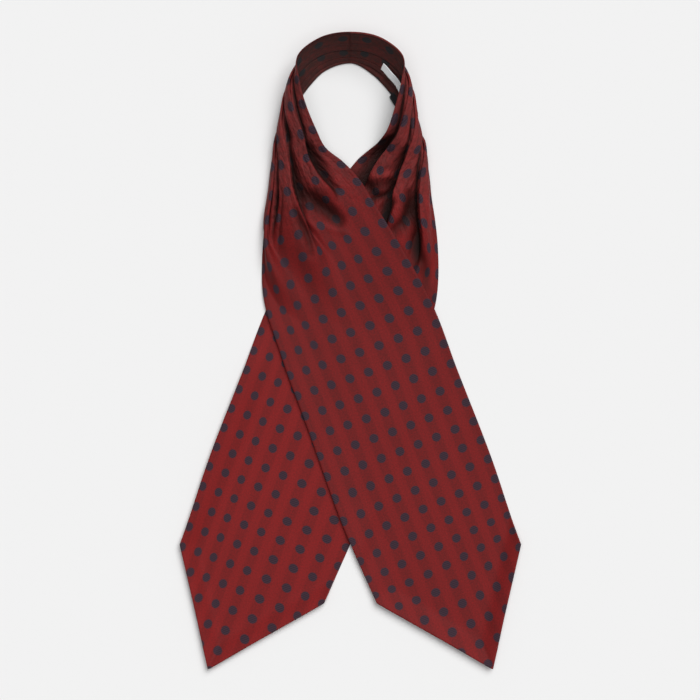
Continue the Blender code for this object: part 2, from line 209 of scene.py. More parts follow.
# %% The pleats
OVER_PLEATS = [
    # along, fold from the inner edge, turn in degrees, length turned back, fold on the flat cloth
    (0, (17.0, 27.5, 35.5), (180, 180, 180), (6.5, 5.0, 3.0), (38.8, 88.8, 133.2)),
    (40, (14.0, 27.0, 37.0), (180, 180, 180), (7.5, 6.0, 3.0), (38.8, 88.8, 133.2)),
    (86, (12.0, 28.0, 39.5), (180, 180, 180), (8.0, 7.0, 3.0), (38.8, 88.8, 133.2)),
    (106, (13.5, 31.5, 44.5), (180, 180, 180), (9.0, 7.0, 4.0), (38.8, 88.8, 133.2)),
    (126, (19.0, 37.5, 52.5), (180, 180, 180), (8.5, 8.5, 5.0), (38.3, 88.8, 133.2)),
    (146, (27.5, 54.5, 73.5), (150, 165, 170), (4.0, 8.0, 5.5), (35.3, 91.8, 137.2)),
    (166, (28.5, 64.5, 92.5), (40, 130, 150), (4.0, 6.0, 5.5), (33.3, 91.3, 136.0)),
    (186, (33.0, 68.0, 106.0), (0, 95, 115), (6.0, 4.0, 4.0), (36.8, 88.0, 134.0)),
    (206, (35.0, 72.0, 113.0), (0, 50, 60), (7.0, 6.0, 5.0), (37.8, 85.5, 130.5)),
    (246, (37.0, 75.0, 115.0), (0, 8, 10), (7.0, 7.0, 7.0), (37.3, 76.7, 118.5)),
    (286, (38.0, 77.0, 116.0), (0, 0, 0), (7.0, 7.0, 7.0), (38.8, 75.9, 115.0)),
    (346, (38.0, 77.0, 116.0), (0, 0, 0), (7.0, 7.0, 7.0), (39.5, 78.9, 118.0)),
    (446, (38.0, 77.0, 116.0), (0, 0, 0), (7.0, 7.0, 7.0), (39.8, 78.6, 117.3)),
    (530, (38.0, 76.7, 115.2), (0, 0, 0), (7.0, 7.0, 7.0), (43.5, 81.8, 119.3)),
    (634, (38.0, 76.0, 114.0), (0, 0, 0), (7.0, 7.0, 7.0), (42.3, 80.7, 118.0)),
]
UNDER_PLEATS = [
    (0, (17.0, 27.5, 35.5), (180, 180, 180), (6.5, 5.0, 3.0), (38.8, 88.8, 133.2)),
    (40, (14.0, 27.0, 37.0), (180, 180, 180), (7.5, 6.0, 3.0), (38.8, 88.8, 133.2)),
    (86, (9.5, 22.5, 36.5), (180, 180, 180), (7.0, 7.0, 3.5), (38.8, 88.8, 133.2)),
    (106, (10.8, 25.5, 41.0), (180, 180, 180), (8.0, 7.5, 4.0), (38.8, 88.8, 133.2)),
    (126, (12.0, 32.0, 48.5), (180, 180, 180), (8.5, 8.5, 5.5), (37.0, 89.5, 134.0)),
    (146, (18.5, 45.5, 66.5), (120, 160, 170), (2.5, 7.0, 6.0), (33.0, 90.5, 136.0)),
    (166, (24.0, 56.0, 82.5), (15, 95, 145), (4.0, 3.5, 5.5), (32.0, 84.0, 134.0)),
    (186, (30.0, 63.0, 97.0), (0, 30, 90), (6.0, 4.0, 3.5), (36.0, 76.5, 129.0)),
    (206, (36.0, 70.0, 108.0), (0, 0, 30), (7.0, 6.0, 4.0), (38.5, 77.5, 123.5)),
    (246, (37.0, 75.0, 114.0), (0, 0, 0), (7.0, 7.0, 7.0), (42.0, 83.5, 121.5)),
    (286, (38.0, 77.0, 116.0), (0, 0, 0), (7.0, 7.0, 7.0), (45.5, 86.5, 123.5)),
    (356, (38.0, 77.0, 116.0), (0, 0, 0), (7.0, 7.0, 7.0), (47.5, 87.8, 123.8)),
    (446, (38.0, 77.0, 116.0), (0, 0, 0), (7.0, 7.0, 7.0), (45.8, 86.0, 122.5)),
    (530, (38.0, 76.7, 115.2), (0, 0, 0), (7.0, 7.0, 7.0), (44.0, 82.0, 120.0)),
    (634, (38.0, 76.0, 114.0), (0, 0, 0), (7.0, 7.0, 7.0), (42.8, 80.0, 118.0)),
]
CUT_WIDTH = 158.2  # the doubled silk, from its inner edge to its hem
LAYER = 1.5  # from one layer of a pleat to the next
KNIFE_ARC = math.pi * LAYER / 2  # the turn of a pressed pleat
OPEN_ARC = 6.0  # the same cloth where the pleat is open
ARC_STEPS = 7
LAP_STEPS = 4
STRIP_STEPS = 24
EDGE_STEPS = (0.0, 0.12, 0.4, 0.9, 1.6, 2.6)  # finer steps beside the inner edge and the hem
FREE_HEM = (150, 190)  # between these lengths the hem strip comes out from under the last pleat
LAP_HOLD = 0.5  # how far past the lap the strip above it stays up
LEAST_FALL = 0.1  # the least way over which it comes down again
print("pleats in each half:", len(OVER_PLEATS[0][1]), "in a cut width of", CUT_WIDTH, "mm")


# %% Pleated sections
def fold_path(at, turn, lap):
    """One pleat in section, as (distance, height) points: a turn, the lap and a turn back."""
    turn = math.radians(turn)
    arc = KNIFE_ARC + (OPEN_ARC - KNIFE_ARC) * (1 - turn / math.pi)
    turning = (np.arange(ARC_STEPS) + 0.5) / ARC_STEPS * turn
    headings = np.concatenate([turning, [turn] * LAP_STEPS, turning[::-1]])
    turn_lengths = [arc / ARC_STEPS] * ARC_STEPS
    lengths = np.array([*turn_lengths, *[lap / LAP_STEPS] * LAP_STEPS, *turn_lengths])
    moves = np.stack([np.cos(headings), np.sin(headings)], axis=1) * lengths[:, None]
    path = np.concatenate([[(0, 0)], np.cumsum(moves, axis=0)])
    turn_back = path[ARC_STEPS + LAP_STEPS :]
    path[:, 0] += at - turn_back[:, 0].min()
    return path


def strip_path(pleat, end, next_fold):
    """The flat strip after a pleat: it stays up over the lap, then comes down before the next fold."""
    start, height = pleat[-1]
    lap_end = pleat[0][0]
    pressed = np.clip((lap_end - start) / LAYER, 0, 1)
    held = start + (lap_end - start + LAP_HOLD) * pressed
    places = np.linspace(start, end, STRIP_STEPS + 1)[1:-1]
    down = end + (next_fold - end) * pressed
    heights = height * (1 - ease((places - held) / max(down - held, LEAST_FALL)))
    return np.stack([places, heights], axis=1)


def pleated_section(along, pleats, width):
    """A section as (distance, height) points, with what tells where its points are on the flat cloth."""
    places = [row[0] for row in pleats]
    at, turn, lap, on_cloth = (through(along, places, [row[i] for row in pleats])[0] for i in (1, 2, 3, 4))
    turn = np.clip(turn, 0, 180)
    folds = [fold_path(*fold) for fold in zip(at, turn, lap)]
    edge = np.array(EDGE_STEPS)
    first = np.concatenate([edge, np.linspace(edge[-1], folds[0][0][0], STRIP_STEPS - len(edge) + 1)[1:-1]])
    path = [np.stack([first, np.zeros(len(first))], axis=1)]
    marks, count = [], len(first)
    for number, fold in enumerate(folds):
        marks.append((count + ARC_STEPS // 2, count + ARC_STEPS + LAP_STEPS + ARC_STEPS // 2))
        path.append(fold)
        end = next_fold = width - edge[-1]
        if number + 1 < len(folds):
            end, next_fold = folds[number + 1][0][0], folds[number + 1][:, 0].min()
        path.append(strip_path(fold, end, next_fold))
        count += len(fold) + STRIP_STEPS - 1
    path.append(np.stack([width - edge[::-1], np.zeros(len(edge))], axis=1))
    return np.concatenate(path), list(zip(marks, on_cloth, turn))


SAMPLE_AT = 100  # a place in the neck to look at
sample_frame = section_frame(SAMPLE_AT, False)
sample_path, sample_marks = pleated_section(SAMPLE_AT, OVER_PLEATS, sample_frame[1][-1])
sample_height = sample_path[:, 1].max().round(1)
print("a section has", len(sample_path), "points, and stands up to", sample_height, "mm high")


# %% Places on the flat cloth
def cloth_places(row, pleat_marks, along):
    """Where each point of a finished row is on the flat cloth, from its inner edge."""
    run = np.concatenate([[0], np.cumsum(np.linalg.norm(np.diff(row, axis=0), axis=1))])
    flat_place = np.zeros(len(run))
    begin, begin_on_cloth = 0.0, 0.0
    for (tuck, fold), on_cloth, turn in pleat_marks:
        # Pressed, the strip shows its cloth at full size and the lap swallows the rest.
        even = (on_cloth - begin_on_cloth) / (run[fold] - begin)
        shown = 1 + (even - 1) * ease(1 - turn / 180)
        at_tuck = begin_on_cloth + shown * (run[tuck] - begin)
        known = (begin, run[tuck], run[fold])
        part = (run >= begin) & (run <= run[fold])
        flat_place[part] = np.interp(run[part], known, (begin_on_cloth, at_tuck, on_cloth))
        begin, begin_on_cloth = run[fold], on_cloth
    even = (CUT_WIDTH - begin_on_cloth) / (run[-1] - begin)
    free = ease((along - FREE_HEM[0]) / (FREE_HEM[1] - FREE_HEM[0]))
    part = run >= begin
    flat_place[part] = begin_on_cloth + (1 + (even - 1) * free) * (run[part] - begin)
    return flat_place


sample_row = raised(sample_frame, sample_path[:, 0], sample_path[:, 1])
hem_place = cloth_places(sample_row, sample_marks, SAMPLE_AT)[-1]
print("at", SAMPLE_AT, "mm the band's hem is", round(hem_place), "mm across the flat cloth")

# %% [markdown]
# ## Hollows, ridges and soft creases
# Hollows, cracks and sunken creases are also painted darker later, as painted shade.
#
# A pleat is not flat like paper. Just before it slips under the next fold, the silk dips into a hollow,
# and the fold above it rises in a small ridge. Below the tack these hollows are wide and soft. The
# first table gives them for the three pleats. The second table is a list of single creases, each a
# line of points on the table's plane, with the height that the cloth gains (or loses) at each point
# and how far its two sides spread.
#
# Every layer at the same spot moves by the same amount, so the layers never pass through each other.

# %% Hollows beside the pleats
OVER_HOLLOWS = [
    # along, depth of the three hollows, from each fold to the hollow's lowest line, spread of the
    # hollow away from the fold, its spread towards the fold, painted shade of the crack, height of the ridge
    (0, (0.4, 0.4, 0.2), (2, 2, 2), (2, 2, 2), (1.5, 1.5, 1.5), (0.5, 0.5, 0.3), (0, 0, 0)),
    (52, (0.6, 0.6, 0.4), (2, 2, 2), (3, 3, 2), (1.5, 1.5, 1.5), (1.5, 1.0, 0.4), (0.3, 0.3, 0.2)),
    (64, (0.8, 1.0, 0.5), (2, 2, 2), (3, 3, 2), (1.5, 1.5, 1.5), (4.0, 4.5, 0.5), (0.4, 0.4, 0.3)),
    (74, (1.2, 1.4, 0.7), (2, 2, 2), (3, 3, 2), (1.5, 1.5, 1.5), (8.0, 9.0, 0.8), (0.5, 0.5, 0.4)),
    (86, (1.5, 2.0, 1.0), (2, 2, 2), (3, 3, 2), (1.5, 1.5, 1.5), (8.5, 10.5, 1.0), (0.7, 0.7, 0.5)),
    (98, (2.0, 4.0, 1.4), (2, 3, 2), (3.5, 4, 2), (1.5, 2, 1.5), (8.5, 10.0, 1.5), (0.9, 0.9, 0.7)),
    (106, (2.2, 4.5, 1.8), (2, 3, 2), (3.5, 4.5, 2.5), (1.5, 2, 1.5), (8.0, 8.0, 2.5), (1.0, 1.0, 0.8)),
    (112, (2.5, 2.0, 2.0), (2, 2.5, 2), (4, 4, 3), (1.6, 1.6, 1.5), (5.0, 3.0, 3.5), (0.8, 0.8, 0.8)),
    (117, (5.0, 2.0, 2.2), (2.2, 2, 2), (4.5, 4, 3), (1.6, 1.6, 1.5), (5.5, 4.5, 4.5), (1.0, 1.0, 0.9)),
    (124, (8.0, 3.0, 2.6), (2.8, 2, 2), (6, 4.5, 3), (1.6, 1.6, 1.5), (6.0, 6.5, 6.5), (1.3, 1.4, 1.0)),
    (134, (8.5, 5.0, 3.2), (3, 2.5, 2), (7.5, 6, 3), (1.6, 1.6, 1.5), (5.5, 7.0, 7.0), (1.6, 1.8, 1.3)),
    (144, (7.5, 6.0, 4.0), (3, 3, 2.2), (7.5, 7, 3.5), (1.6, 1.6, 1.5), (4.5, 7.0, 7.0), (1.6, 2.0, 1.5)),
    (152, (5.5, 6.0, 4.2), (2.8, 3, 2.5), (6, 7.5, 4), (1.6, 1.6, 1.5), (3.5, 7.0, 7.0), (1.2, 2.0, 1.6)),
    (160, (3.5, 4.5, 3.5), (2.5, 3, 2.5), (5, 6, 3.5), (1.6, 1.6, 1.5), (3.0, 5.5, 7.0), (0.8, 1.8, 1.6)),
    (168, (1.5, 3.0, 2.0), (2.2, 2.5, 2), (4, 5, 3), (1.6, 1.6, 1.5), (1.5, 4.5, 5.0), (0.3, 1.6, 1.4)),
    (176, (0.0, 1.5, 1.0), (2, 2, 2), (4, 4, 3), (1.6, 1.6, 1.5), (0.0, 3.0, 3.0), (0.0, 1.2, 1.2)),
    (186, (0.0, 0.5, 0.3), (2, 2, 2), (4, 4, 3), (1.6, 1.6, 1.5), (0.0, 1.5, 1.2), (0.0, 0.8, 0.8)),
    (200, (0.0, 0.0, 0.0), (2, 2, 2), (4, 4, 3), (1.6, 1.6, 1.5), (0.0, 0.3, 0.0), (0.0, 0.3, 0.3)),
    (220, (0.0, 0.0, 0.0), (2, 2, 2), (4, 4, 3), (1.6, 1.6, 1.5), (0.0, 0.0, 0.0), (0.0, 0.0, 0.0)),
    (634, (0.0, 0.0, 0.0), (2, 2, 2), (4, 4, 3), (1.6, 1.6, 1.5), (0.0, 0.0, 0.0), (0.0, 0.0, 0.0)),
]
UNDER_HOLLOWS = [
    (0, (0.4, 0.4, 0.2), (2, 2, 2), (2, 2, 2), (1.5, 1.5, 1.5), (0.5, 0.5, 0.3), (0, 0, 0)),
    (52, (0.6, 0.6, 0.4), (2, 2, 2), (3, 3, 2), (1.5, 1.5, 1.5), (1.5, 0.8, 0.3), (0.3, 0.3, 0.2)),
    (64, (0.9, 0.8, 0.5), (2, 2, 2), (3, 3, 2), (1.5, 1.5, 1.5), (3.5, 2.0, 0.4), (0.4, 0.4, 0.3)),
    (74, (1.4, 1.5, 0.7), (2, 2, 2), (3, 3, 2), (1.5, 1.5, 1.5), (6.0, 4.0, 0.5), (0.5, 0.5, 0.4)),
    (86, (1.8, 3.0, 0.9), (2, 2.2, 2), (3, 3.5, 2), (1.5, 1.5, 1.5), (7.5, 8.0, 1.8), (0.7, 0.7, 0.5)),
    (96, (3.0, 3.5, 1.0), (2, 2.2, 2), (4, 3.5, 2), (1.5, 1.5, 1.5), (7.5, 8.0, 2.5), (0.8, 0.9, 0.6)),
    (104, (4.5, 2.5, 1.2), (2.2, 2, 2), (4.5, 3.5, 2), (1.5, 1.5, 1.5), (6.5, 6.5, 2.5), (1.0, 0.9, 0.7)),
    (111, (6.5, 1.2, 1.6), (2.5, 2, 2), (5, 3, 2.5), (1.6, 1.5, 1.5), (5.0, 3.0, 2.5), (1.2, 0.8, 0.8)),
    (117, (8.5, 3.0, 2.4), (3, 2, 2), (6, 4, 3), (1.6, 1.6, 1.5), (4.5, 5.0, 6.0), (1.4, 1.2, 1.0)),
    (125, (10.0, 5.0, 3.0), (3.2, 2.4, 2), (7.5, 5, 3), (1.7, 1.6, 1.5), (4.0, 6.5, 7.0), (1.6, 1.6, 1.3)),
    (134, (11.0, 5.0, 3.0), (3.5, 2.6, 2), (9, 6, 3), (1.7, 1.6, 1.5), (3.0, 7.0, 7.0), (1.6, 1.8, 1.4)),
    (142, (10.0, 5.5, 3.0), (3.5, 2.8, 2.2), (9, 7, 3.2), (1.7, 1.6, 1.5), (2.5, 7.0, 7.0), (1.4, 2.0, 1.5)),
    (152, (8.0, 6.0, 3.0), (3.5, 3, 2.4), (8, 8, 3.5), (1.7, 1.6, 1.5), (2.0, 7.0, 7.0), (0.9, 2.0, 1.6)),
    (160, (4.0, 7.5, 4.5), (3, 3.5, 3), (7, 8, 7), (1.7, 1.6, 1.5), (1.0, 7.0, 7.0), (0.4, 1.8, 1.7)),
    (168, (1.0, 7.5, 5.0), (3, 3.5, 3.5), (6, 8, 8), (1.7, 1.6, 1.5), (0.0, 6.0, 7.0), (0.0, 1.6, 1.8)),
    (178, (0.0, 5.0, 4.5), (3, 3.2, 3), (6, 6, 6), (1.7, 1.6, 1.5), (0.0, 4.5, 7.0), (0.0, 1.2, 1.8)),
    (188, (0.0, 1.5, 5.0), (3, 3, 3), (6, 5, 5), (1.7, 1.6, 1.6), (0.0, 1.5, 6.0), (0.0, 0.6, 1.8)),
    (198, (0.0, 0.0, 4.5), (3, 3, 3.5), (6, 5, 7), (1.7, 1.6, 1.8), (0.0, 0.0, 4.5), (0.0, 0.0, 1.6)),
    (208, (0.0, 0.0, 2.5), (3, 3, 4), (6, 5, 8), (1.7, 1.6, 2), (0.0, 0.0, 1.5), (0.0, 0.0, 1.2)),
    (222, (0.0, 0.0, 0.5), (3, 3, 4), (6, 5, 8), (1.7, 1.6, 2), (0.0, 0.0, 0.0), (0.0, 0.0, 0.5)),
    (240, (0.0, 0.0, 0.0), (3, 3, 4), (6, 5, 8), (1.7, 1.6, 2), (0.0, 0.0, 0.0), (0.0, 0.0, 0.0)),
    (634, (0.0, 0.0, 0.0), (3, 3, 4), (6, 5, 8), (1.7, 1.6, 2), (0.0, 0.0, 0.0), (0.0, 0.0, 0.0)),
]
# A crack lies this far before its fold, and spreads away from the fold and towards it.
CRACK_BESIDE, CRACK_AWAY, CRACK_TOWARDS = 0.7, 2.2, 0.4
CRACK_DEPTH, CRACK_SHADE = 0.3, 1.3  # what a crack of strength 1 takes from the height, and how much painted shade it adds
# A ridge stands this far past its fold, and spreads before and after it.
RIDGE_BEYOND, RIDGE_BEFORE, RIDGE_AFTER = 0.2, 0.6, 4.0
print("hollows are at most", max(max(row[1]) for row in OVER_HOLLOWS + UNDER_HOLLOWS), "mm deep")


# %% How hollows shape a section
def bump_at(place, centre, before, after):
    """A smooth bump of height 1, with a different spread on each side of its centre."""
    spread = np.where(place < centre, before, after)
    return np.exp(-(((place - centre) / spread) ** 2))


def beside_pleats(along, across, pleats, hollows):
    """How much the pleats' hollows, cracks and ridges raise a section's points, and their painted shade."""
    at = through(along, [row[0] for row in pleats], [row[1] for row in pleats])[0]
    places = [row[0] for row in hollows]
    columns = (np.maximum(through(along, places, [row[i] for row in hollows])[0], 0) for i in range(1, 7))
    height = np.zeros(len(across))
    shaded = np.zeros(len(across))
    for fold, depth, back, away, towards, crack, ridge in zip(at, *columns):
        hollow = depth * bump_at(across, fold - back, away, towards)
        crack = crack * bump_at(across, fold - CRACK_BESIDE, CRACK_AWAY, CRACK_TOWARDS)
        height += ridge * bump_at(across, fold + RIDGE_BEYOND, RIDGE_BEFORE, RIDGE_AFTER)
        height -= hollow + CRACK_DEPTH * crack
        # Painted shade grows with the hollow's depth and the crack's strength.
        shaded += hollow + CRACK_SHADE * crack
    return height, shaded


moved_by, _ = beside_pleats(134, np.linspace(0, 120, 241), OVER_PLEATS, OVER_HOLLOWS)
print(f"at 134 mm they move the cloth by {moved_by.min():.1f} to {moved_by.max():.1f} mm")

# %% Single creases
OVER_CREASES = [
    # spread to the left of the line, spread to its right, then (x, y, height) along the line
    (7, 7, (-49.6, 161.5, 0.0), (-44.8, 154.7, -3.0), (-37.0, 147.9, -5.5), (-28.4, 140.2, -6.5),
     (-18.7, 132.5, -6.0), (-11.0, 125.8, -4.0), (-3.3, 120.0, 0.0)),
    (4, 4.5, (-53.4, 143.1, -0.5), (-50.5, 133.5, -3.0), (-46.7, 122.9, -4.5), (-41.9, 114.2, -5.0),
     (-39.0, 105.5, -4.0), (-38.0, 95.9, -2.0), (-37.0, 86.2, 0.0)),
    (3.5, 3, (-49.6, 143.1, 0.6), (-45.7, 133.5, 1.4), (-40.9, 125.8, 1.8),
     (-31.3, 116.1, 2.2), (-25.5, 106.5, 1.6), (-18.7, 93.9, 0.0)),
    (2, 2, (-20.6, 168.2, 0.2), (-13.9, 162.4, 0.9), (-4.2, 154.7, 0.0)),
    (3, 3, (-27.4, 120.9, 0.4), (-16.8, 118.0, 1.0), (-5.2, 115.1, 0.8), (4.4, 107.4, 0.0)),
    (1.3, 1.3, (-67.9, 164.3, -0.5), (-66.0, 154.7, -2.0), (-65.7, 143.1, -2.5), (-66.9, 130.6, -2.2),
     (-68.4, 117.1, -1.8), (-69.4, 102.6, -1.0), (-69.8, 92.0, 0.0)),
    (0.9, 0.9, (-40.9, 197.1, -1.3), (-35.1, 202.9, 0.0)),
    (0.9, 0.9, (-39.9, 195.2, -1.2), (-31.3, 198.1, 0.0)),
    (0.8, 0.8, (-42.8, 198.1, -1.0), (-45.7, 206.8, 0.0)),
    (0.9, 0.9, (-58.3, 197.1, -1.2), (-51.5, 201.0, 0.0)),
    (0.9, 0.9, (-58.3, 196.2, -1.0), (-50.5, 193.3, 0.0)),
]
UNDER_CREASES = [
    (1.2, 5, (-18.9, 166.3, 1.0), (-28.6, 167.2, 2.0), (-37.2, 168.2, 2.2), (-45.0, 171.1, 1.0)),
    (4, 4, (-19.9, 159.5, -1.0), (-29.5, 160.5, -2.0), (-39.2, 163.4, -2.5)),
    (1.6, 1.3, (-17.0, 145.1, -2.0), (-23.7, 147.9, -3.5), (-31.4, 150.8, -4.5),
     (-38.2, 154.7, -4.5), (-42.1, 161.5, -3.0)),
    (2.5, 2.5, (-25.7, 143.1, 1.0), (-32.4, 145.1, 1.5), (-38.2, 147.0, 1.2)),
    (5, 3, (-40.1, 143.1, -4.0), (-36.3, 136.4, -7.0), (-33.4, 128.7, -5.0)),
    (3.5, 8, (-54.6, 159.5, -1.0), (-55.6, 150.8, -4.0), (-55.6, 142.2, -6.0), (-53.6, 133.5, -6.5),
     (-48.8, 124.8, -5.5), (-42.1, 118.0, -3.0), (-36.3, 115.1, 0.0)),
    (6, 5, (-63.3, 109.4, -3.0), (-65.2, 98.8, -5.0), (-68.1, 90.1, -4.5), (-71.0, 80.4, -3.0),
     (-73.9, 66.9, -2.2), (-78.7, 51.5, -1.5), (-86.4, 38.0, 0.0)),
    (0.9, 0.9, (-65.2, 226.1, -0.8), (-68.1, 218.4, -1.6), (-70.0, 210.7, -1.6), (-71.0, 202.9, -0.6)),
    # This trough lies under the over half's edge. Its painted shade stands for the shadow that edge throws.
    (5, 7, (-2.5, 174.7, -2.0), (-10.2, 167.0, -5.0), (-16.9, 159.3, -5.5),
     (-22.7, 150.6, -4.0), (-28.5, 140.0, 0.0)),
    (0.9, 0.9, (-54.6, 198.1, -1.2), (-48.8, 202.0, 0.0)),
    (0.9, 0.9, (-54.6, 197.1, -1.2), (-47.8, 194.3, 0.0)),
    (0.9, 0.9, (-69.1, 196.2, -1.2), (-63.3, 200.0, 0.0)),
]


def beside_creases(points, creases):
    """How much the single creases raise each point, by its distance from each crease's line."""
    height = np.zeros(len(points))
    for left, right, *line in creases:
        best = np.full(len(points), np.inf)
        gain = np.zeros(len(points))
        for (x0, y0, h0), (x1, y1, h1) in zip(line, line[1:]):
            run = np.array((x1 - x0, y1 - y0))
            length = np.linalg.norm(run)
            run = run / length
            offset = points[:, :2] - (x0, y0)
            way = np.clip(offset @ run, 0, length)
            apart = np.linalg.norm(offset - way[:, None] * run, axis=1)
            on_left = run[0] * offset[:, 1] - run[1] * offset[:, 0] > 0
            spread = np.where(on_left, left, right)
            here = (h0 + (h1 - h0) * ease(way / length)) * np.exp(-((apart / spread) ** 2))
            nearer = apart < best
            gain[nearer] = here[nearer]
            best = np.minimum(best, apart)
        height += gain
    return height


print("creases placed by hand:", len(OVER_CREASES) + len(UNDER_CREASES))

# %% [markdown]
# ## What the cloth rests on
#
# Where the over half crosses the under half it has to rest on it, so its height is never less than the
# height of the cloth below. Nothing presses the blades down, though. Thick silk that has been folded
# along its edges keeps a little spring, so the free edges and the points stand a few millimetres off
# the table and throw a soft shadow.
#
# Gravity in a simulation would find such heights too, but a short table says plainly what we want.

# %% Resting heights
FLOOR = 0.5  # the middle of a wall that lies on the table
LAP_MARGIN, LAP_RAMP = 7.0, 16.0  # the over half stays up this far past the under half, then comes down
STRAIGHT_EDGE, STRAIGHT_HEM = (286, 226), (286, 446)  # between these lengths the sides are straight


def beside(x, y, start, end):
    """How far a point lies to the left of the line from start to end."""
    run = np.array(end[:2]) - np.array(start[:2])
    run = run / np.linalg.norm(run)
    return run[0] * (y - start[1]) - run[1] * (x - start[0])


def resting_height(x, y):
    """The middle of the over half's wall where it lies on the table, or on the under half's blade."""
    mirrored = {row[0]: np.array(row[1:]) * MIRROR for row in SECTIONS}
    outside_edge = beside(x, y, *(mirrored[place][0] for place in STRAIGHT_EDGE))
    outside_hem = beside(x, y, *(mirrored[place][-1] for place in STRAIGHT_HEM))
    inside = LAP_MARGIN - np.maximum(outside_edge, outside_hem)
    return FLOOR + LAYER * ease(1 + inside / LAP_RAMP)


print("on the other blade the cloth lies at", resting_height(np.array(-80.0), np.array(-100.0)), "mm")

# %% Lifted edges
OVER_LIFTS = [
    # along, how far the inner edge and the hem stand off what they lie on
    (0, (0, 0)),
    (190, (0, 0)),
    (260, (0.5, 2.0)),
    (450, (0.5, 2.5)),
    (520, (0.5, 6.0)),
    (640, (0.5, 6.0)),
]
UNDER_LIFTS = [
    (0, (0, 0)),
    (310, (0, 0)),
    (360, (5.0, 0)),
    (450, (6.0, 0)),
    (520, (6.0, 0.5)),
    (640, (6.0, 0.5)),
]
POINT_LIFT = 7.0
LIFT_WIDTH = 34.0  # how far from the edge the cloth begins to rise


def edge_lift(rows, along, lifts):
    """How far each point of the rows stands up, by its distance from the free edges."""
    table = through(along, [row[0] for row in lifts], [row[1] for row in lifts])
    rise = np.zeros(rows.shape[:2])
    free_edges = ((table[:, :1], rows[:, :1]), (table[:, 1:], rows[:, -1:]), (POINT_LIFT, rows[-1:]))
    for height, edge in free_edges:
        apart = np.linalg.norm(rows - edge, axis=2)
        rise = np.maximum(rise, height * ease(1 - apart / LIFT_WIDTH))
    return rise


print("the points of the blades stand", POINT_LIFT, "mm off the table")

# %% [markdown]
# ## Rows of cloth
#
# Now the sections are set out one after another, close together in the neck and wider apart in the
# blade. The last ones bend into a chevron, which gives the point.
#
# Each point of a row also keeps where it is on the flat cloth, and how much painted shade its hollows
# and cracks give it. The silk's pattern and the painted shade in its folds come from these numbers later.

# %% Rows of each half
DARK_FROM, DARK_DEPTH = 0.4, 3.2  # how deep a hollow is before its painted shade begins, and how soon that shade is full
ROW_STEP_NECK = 2.0
ROW_STEP_BLADE = 3.4


def row_places():
    """Where the rows lie along the cloth, from the centre back to the blade's corners."""
    neck = np.linspace(0, OPENED, round(OPENED / ROW_STEP_NECK), endpoint=False)
    end = CORNER - np.array(EDGE_STEPS[::-1])
    blade = np.linspace(OPENED, end[0], round((end[0] - OPENED) / ROW_STEP_BLADE), endpoint=False)
    return np.concatenate([neck, blade, end])


def lay_half(under):
    """The middle of a half's cloth as rows of points, with each point's place on the flat cloth."""
    pleats = UNDER_PLEATS if under else OVER_PLEATS
    hollows = UNDER_HOLLOWS if under else OVER_HOLLOWS
    creases = UNDER_CREASES if under else OVER_CREASES

    def row_at(along):
        """One finished row, its places across the flat cloth, and the painted shade of its hollows."""
        frame_here = section_frame(along, under)
        path, pleat_marks = pleated_section(along, pleats, frame_here[1][-1])
        relief, shaded = beside_pleats(along, path[:, 0], pleats, hollows)
        creased = beside_creases(raised(frame_here, path[:, 0], path[:, 1] + relief), creases)
        # Painted shade: the deeper a point lies in hollows and cracks, the darker it is painted; raised
        # creases lighten it.
        dark = 1 - np.exp(-np.maximum(shaded - creased - DARK_FROM, 0) / DARK_DEPTH)
        row = raised(frame_here, path[:, 0], path[:, 1] + relief + creased)
        return row, cloth_places(row, pleat_marks, along), dark

    to_tip = row_at(CORNER + POINT_DEPTH)[0] - row_at(CORNER)[0]
    rows, flat = [], []
    for along in row_places():
        row, on_cloth, dark = row_at(along)
        fraction = np.linalg.norm(row - row[0], axis=1)
        fraction = fraction / fraction[-1]
        share = max(0, (along - POINT_STARTS) / (CORNER - POINT_STARTS))
        depth = share * (1 - np.abs(2 * fraction - 1))
        rows.append(row + to_tip * depth[:, None])
        flat.append(np.stack([on_cloth, along + POINT_DEPTH * depth, dark], axis=1))
    rows, flat = np.array(rows), np.array(flat)
    rests_at = FLOOR if under else resting_height(rows[..., 0], rows[..., 1])
    lifted = edge_lift(rows, row_places(), UNDER_LIFTS if under else OVER_LIFTS)
    rows[..., 2] = np.maximum(rows[..., 2], rests_at + lifted)
    return rows, flat


over_rows, over_flat = lay_half(False)
under_rows, under_flat = lay_half(True)
print("rows and points across:", over_rows.shape[:2])

# %% [markdown]
# ## Where the silk has slipped
#
# Woven dots stand in straight rows, but cut and sewn silk is never quite straight. It is steamed,
# pulled into its pleats and turned inside out, and the rows of dots slip along the cloth, more at one
# side than at the other. A table of slips is enough, with smooth curves between its rows.

# %% Slips of the dots
OVER_SLIPS = [
    # along, how far the dots have slipped along the cloth: at the inner edge, in the middle, at the hem
    (0, (0, 0, 0)),
    (126, (0, 1, 1)),
    (146, (1, 3, 2)),
    (186, (-1, 2, 2)),
    (226, (0, 2, 2)),
    (266, (-1, 1, 2)),
    (326, (1, 1, 0)),
    (366, (2, 1.5, -2)),
    (406, (1.5, 0.5, -4)),
    (446, (0, 0, -1)),
    (486, (-2, -1, 0)),
    (506, (-7, -1.5, -1)),
    (526, (-14, -2, -5)),
    (546, (-16, -2.5, -9)),
    (566, (-11, -2, -6)),
    (606, (0, 0.5, 0)),
    (634, (0, 1, 0)),
]
UNDER_SLIPS = [
    (0, (7, 7, 7)),
    (90, (9, 8, 6)),
    (106, (12, 9, 5)),
    (126, (18, 11, 4.5)),
    (146, (20, 12.5, 4.5)),
    (166, (18, 11.5, 4.5)),
    (186, (14, 11, 4.5)),
    (206, (10, 10, 5.5)),
    (246, (9, 9, 7)),
    (326, (8.5, 8.5, 8)),
    (426, (8, 8, 7.5)),
    (526, (5.5, 5.5, 5)),
    (634, (8, 8, 8)),
]


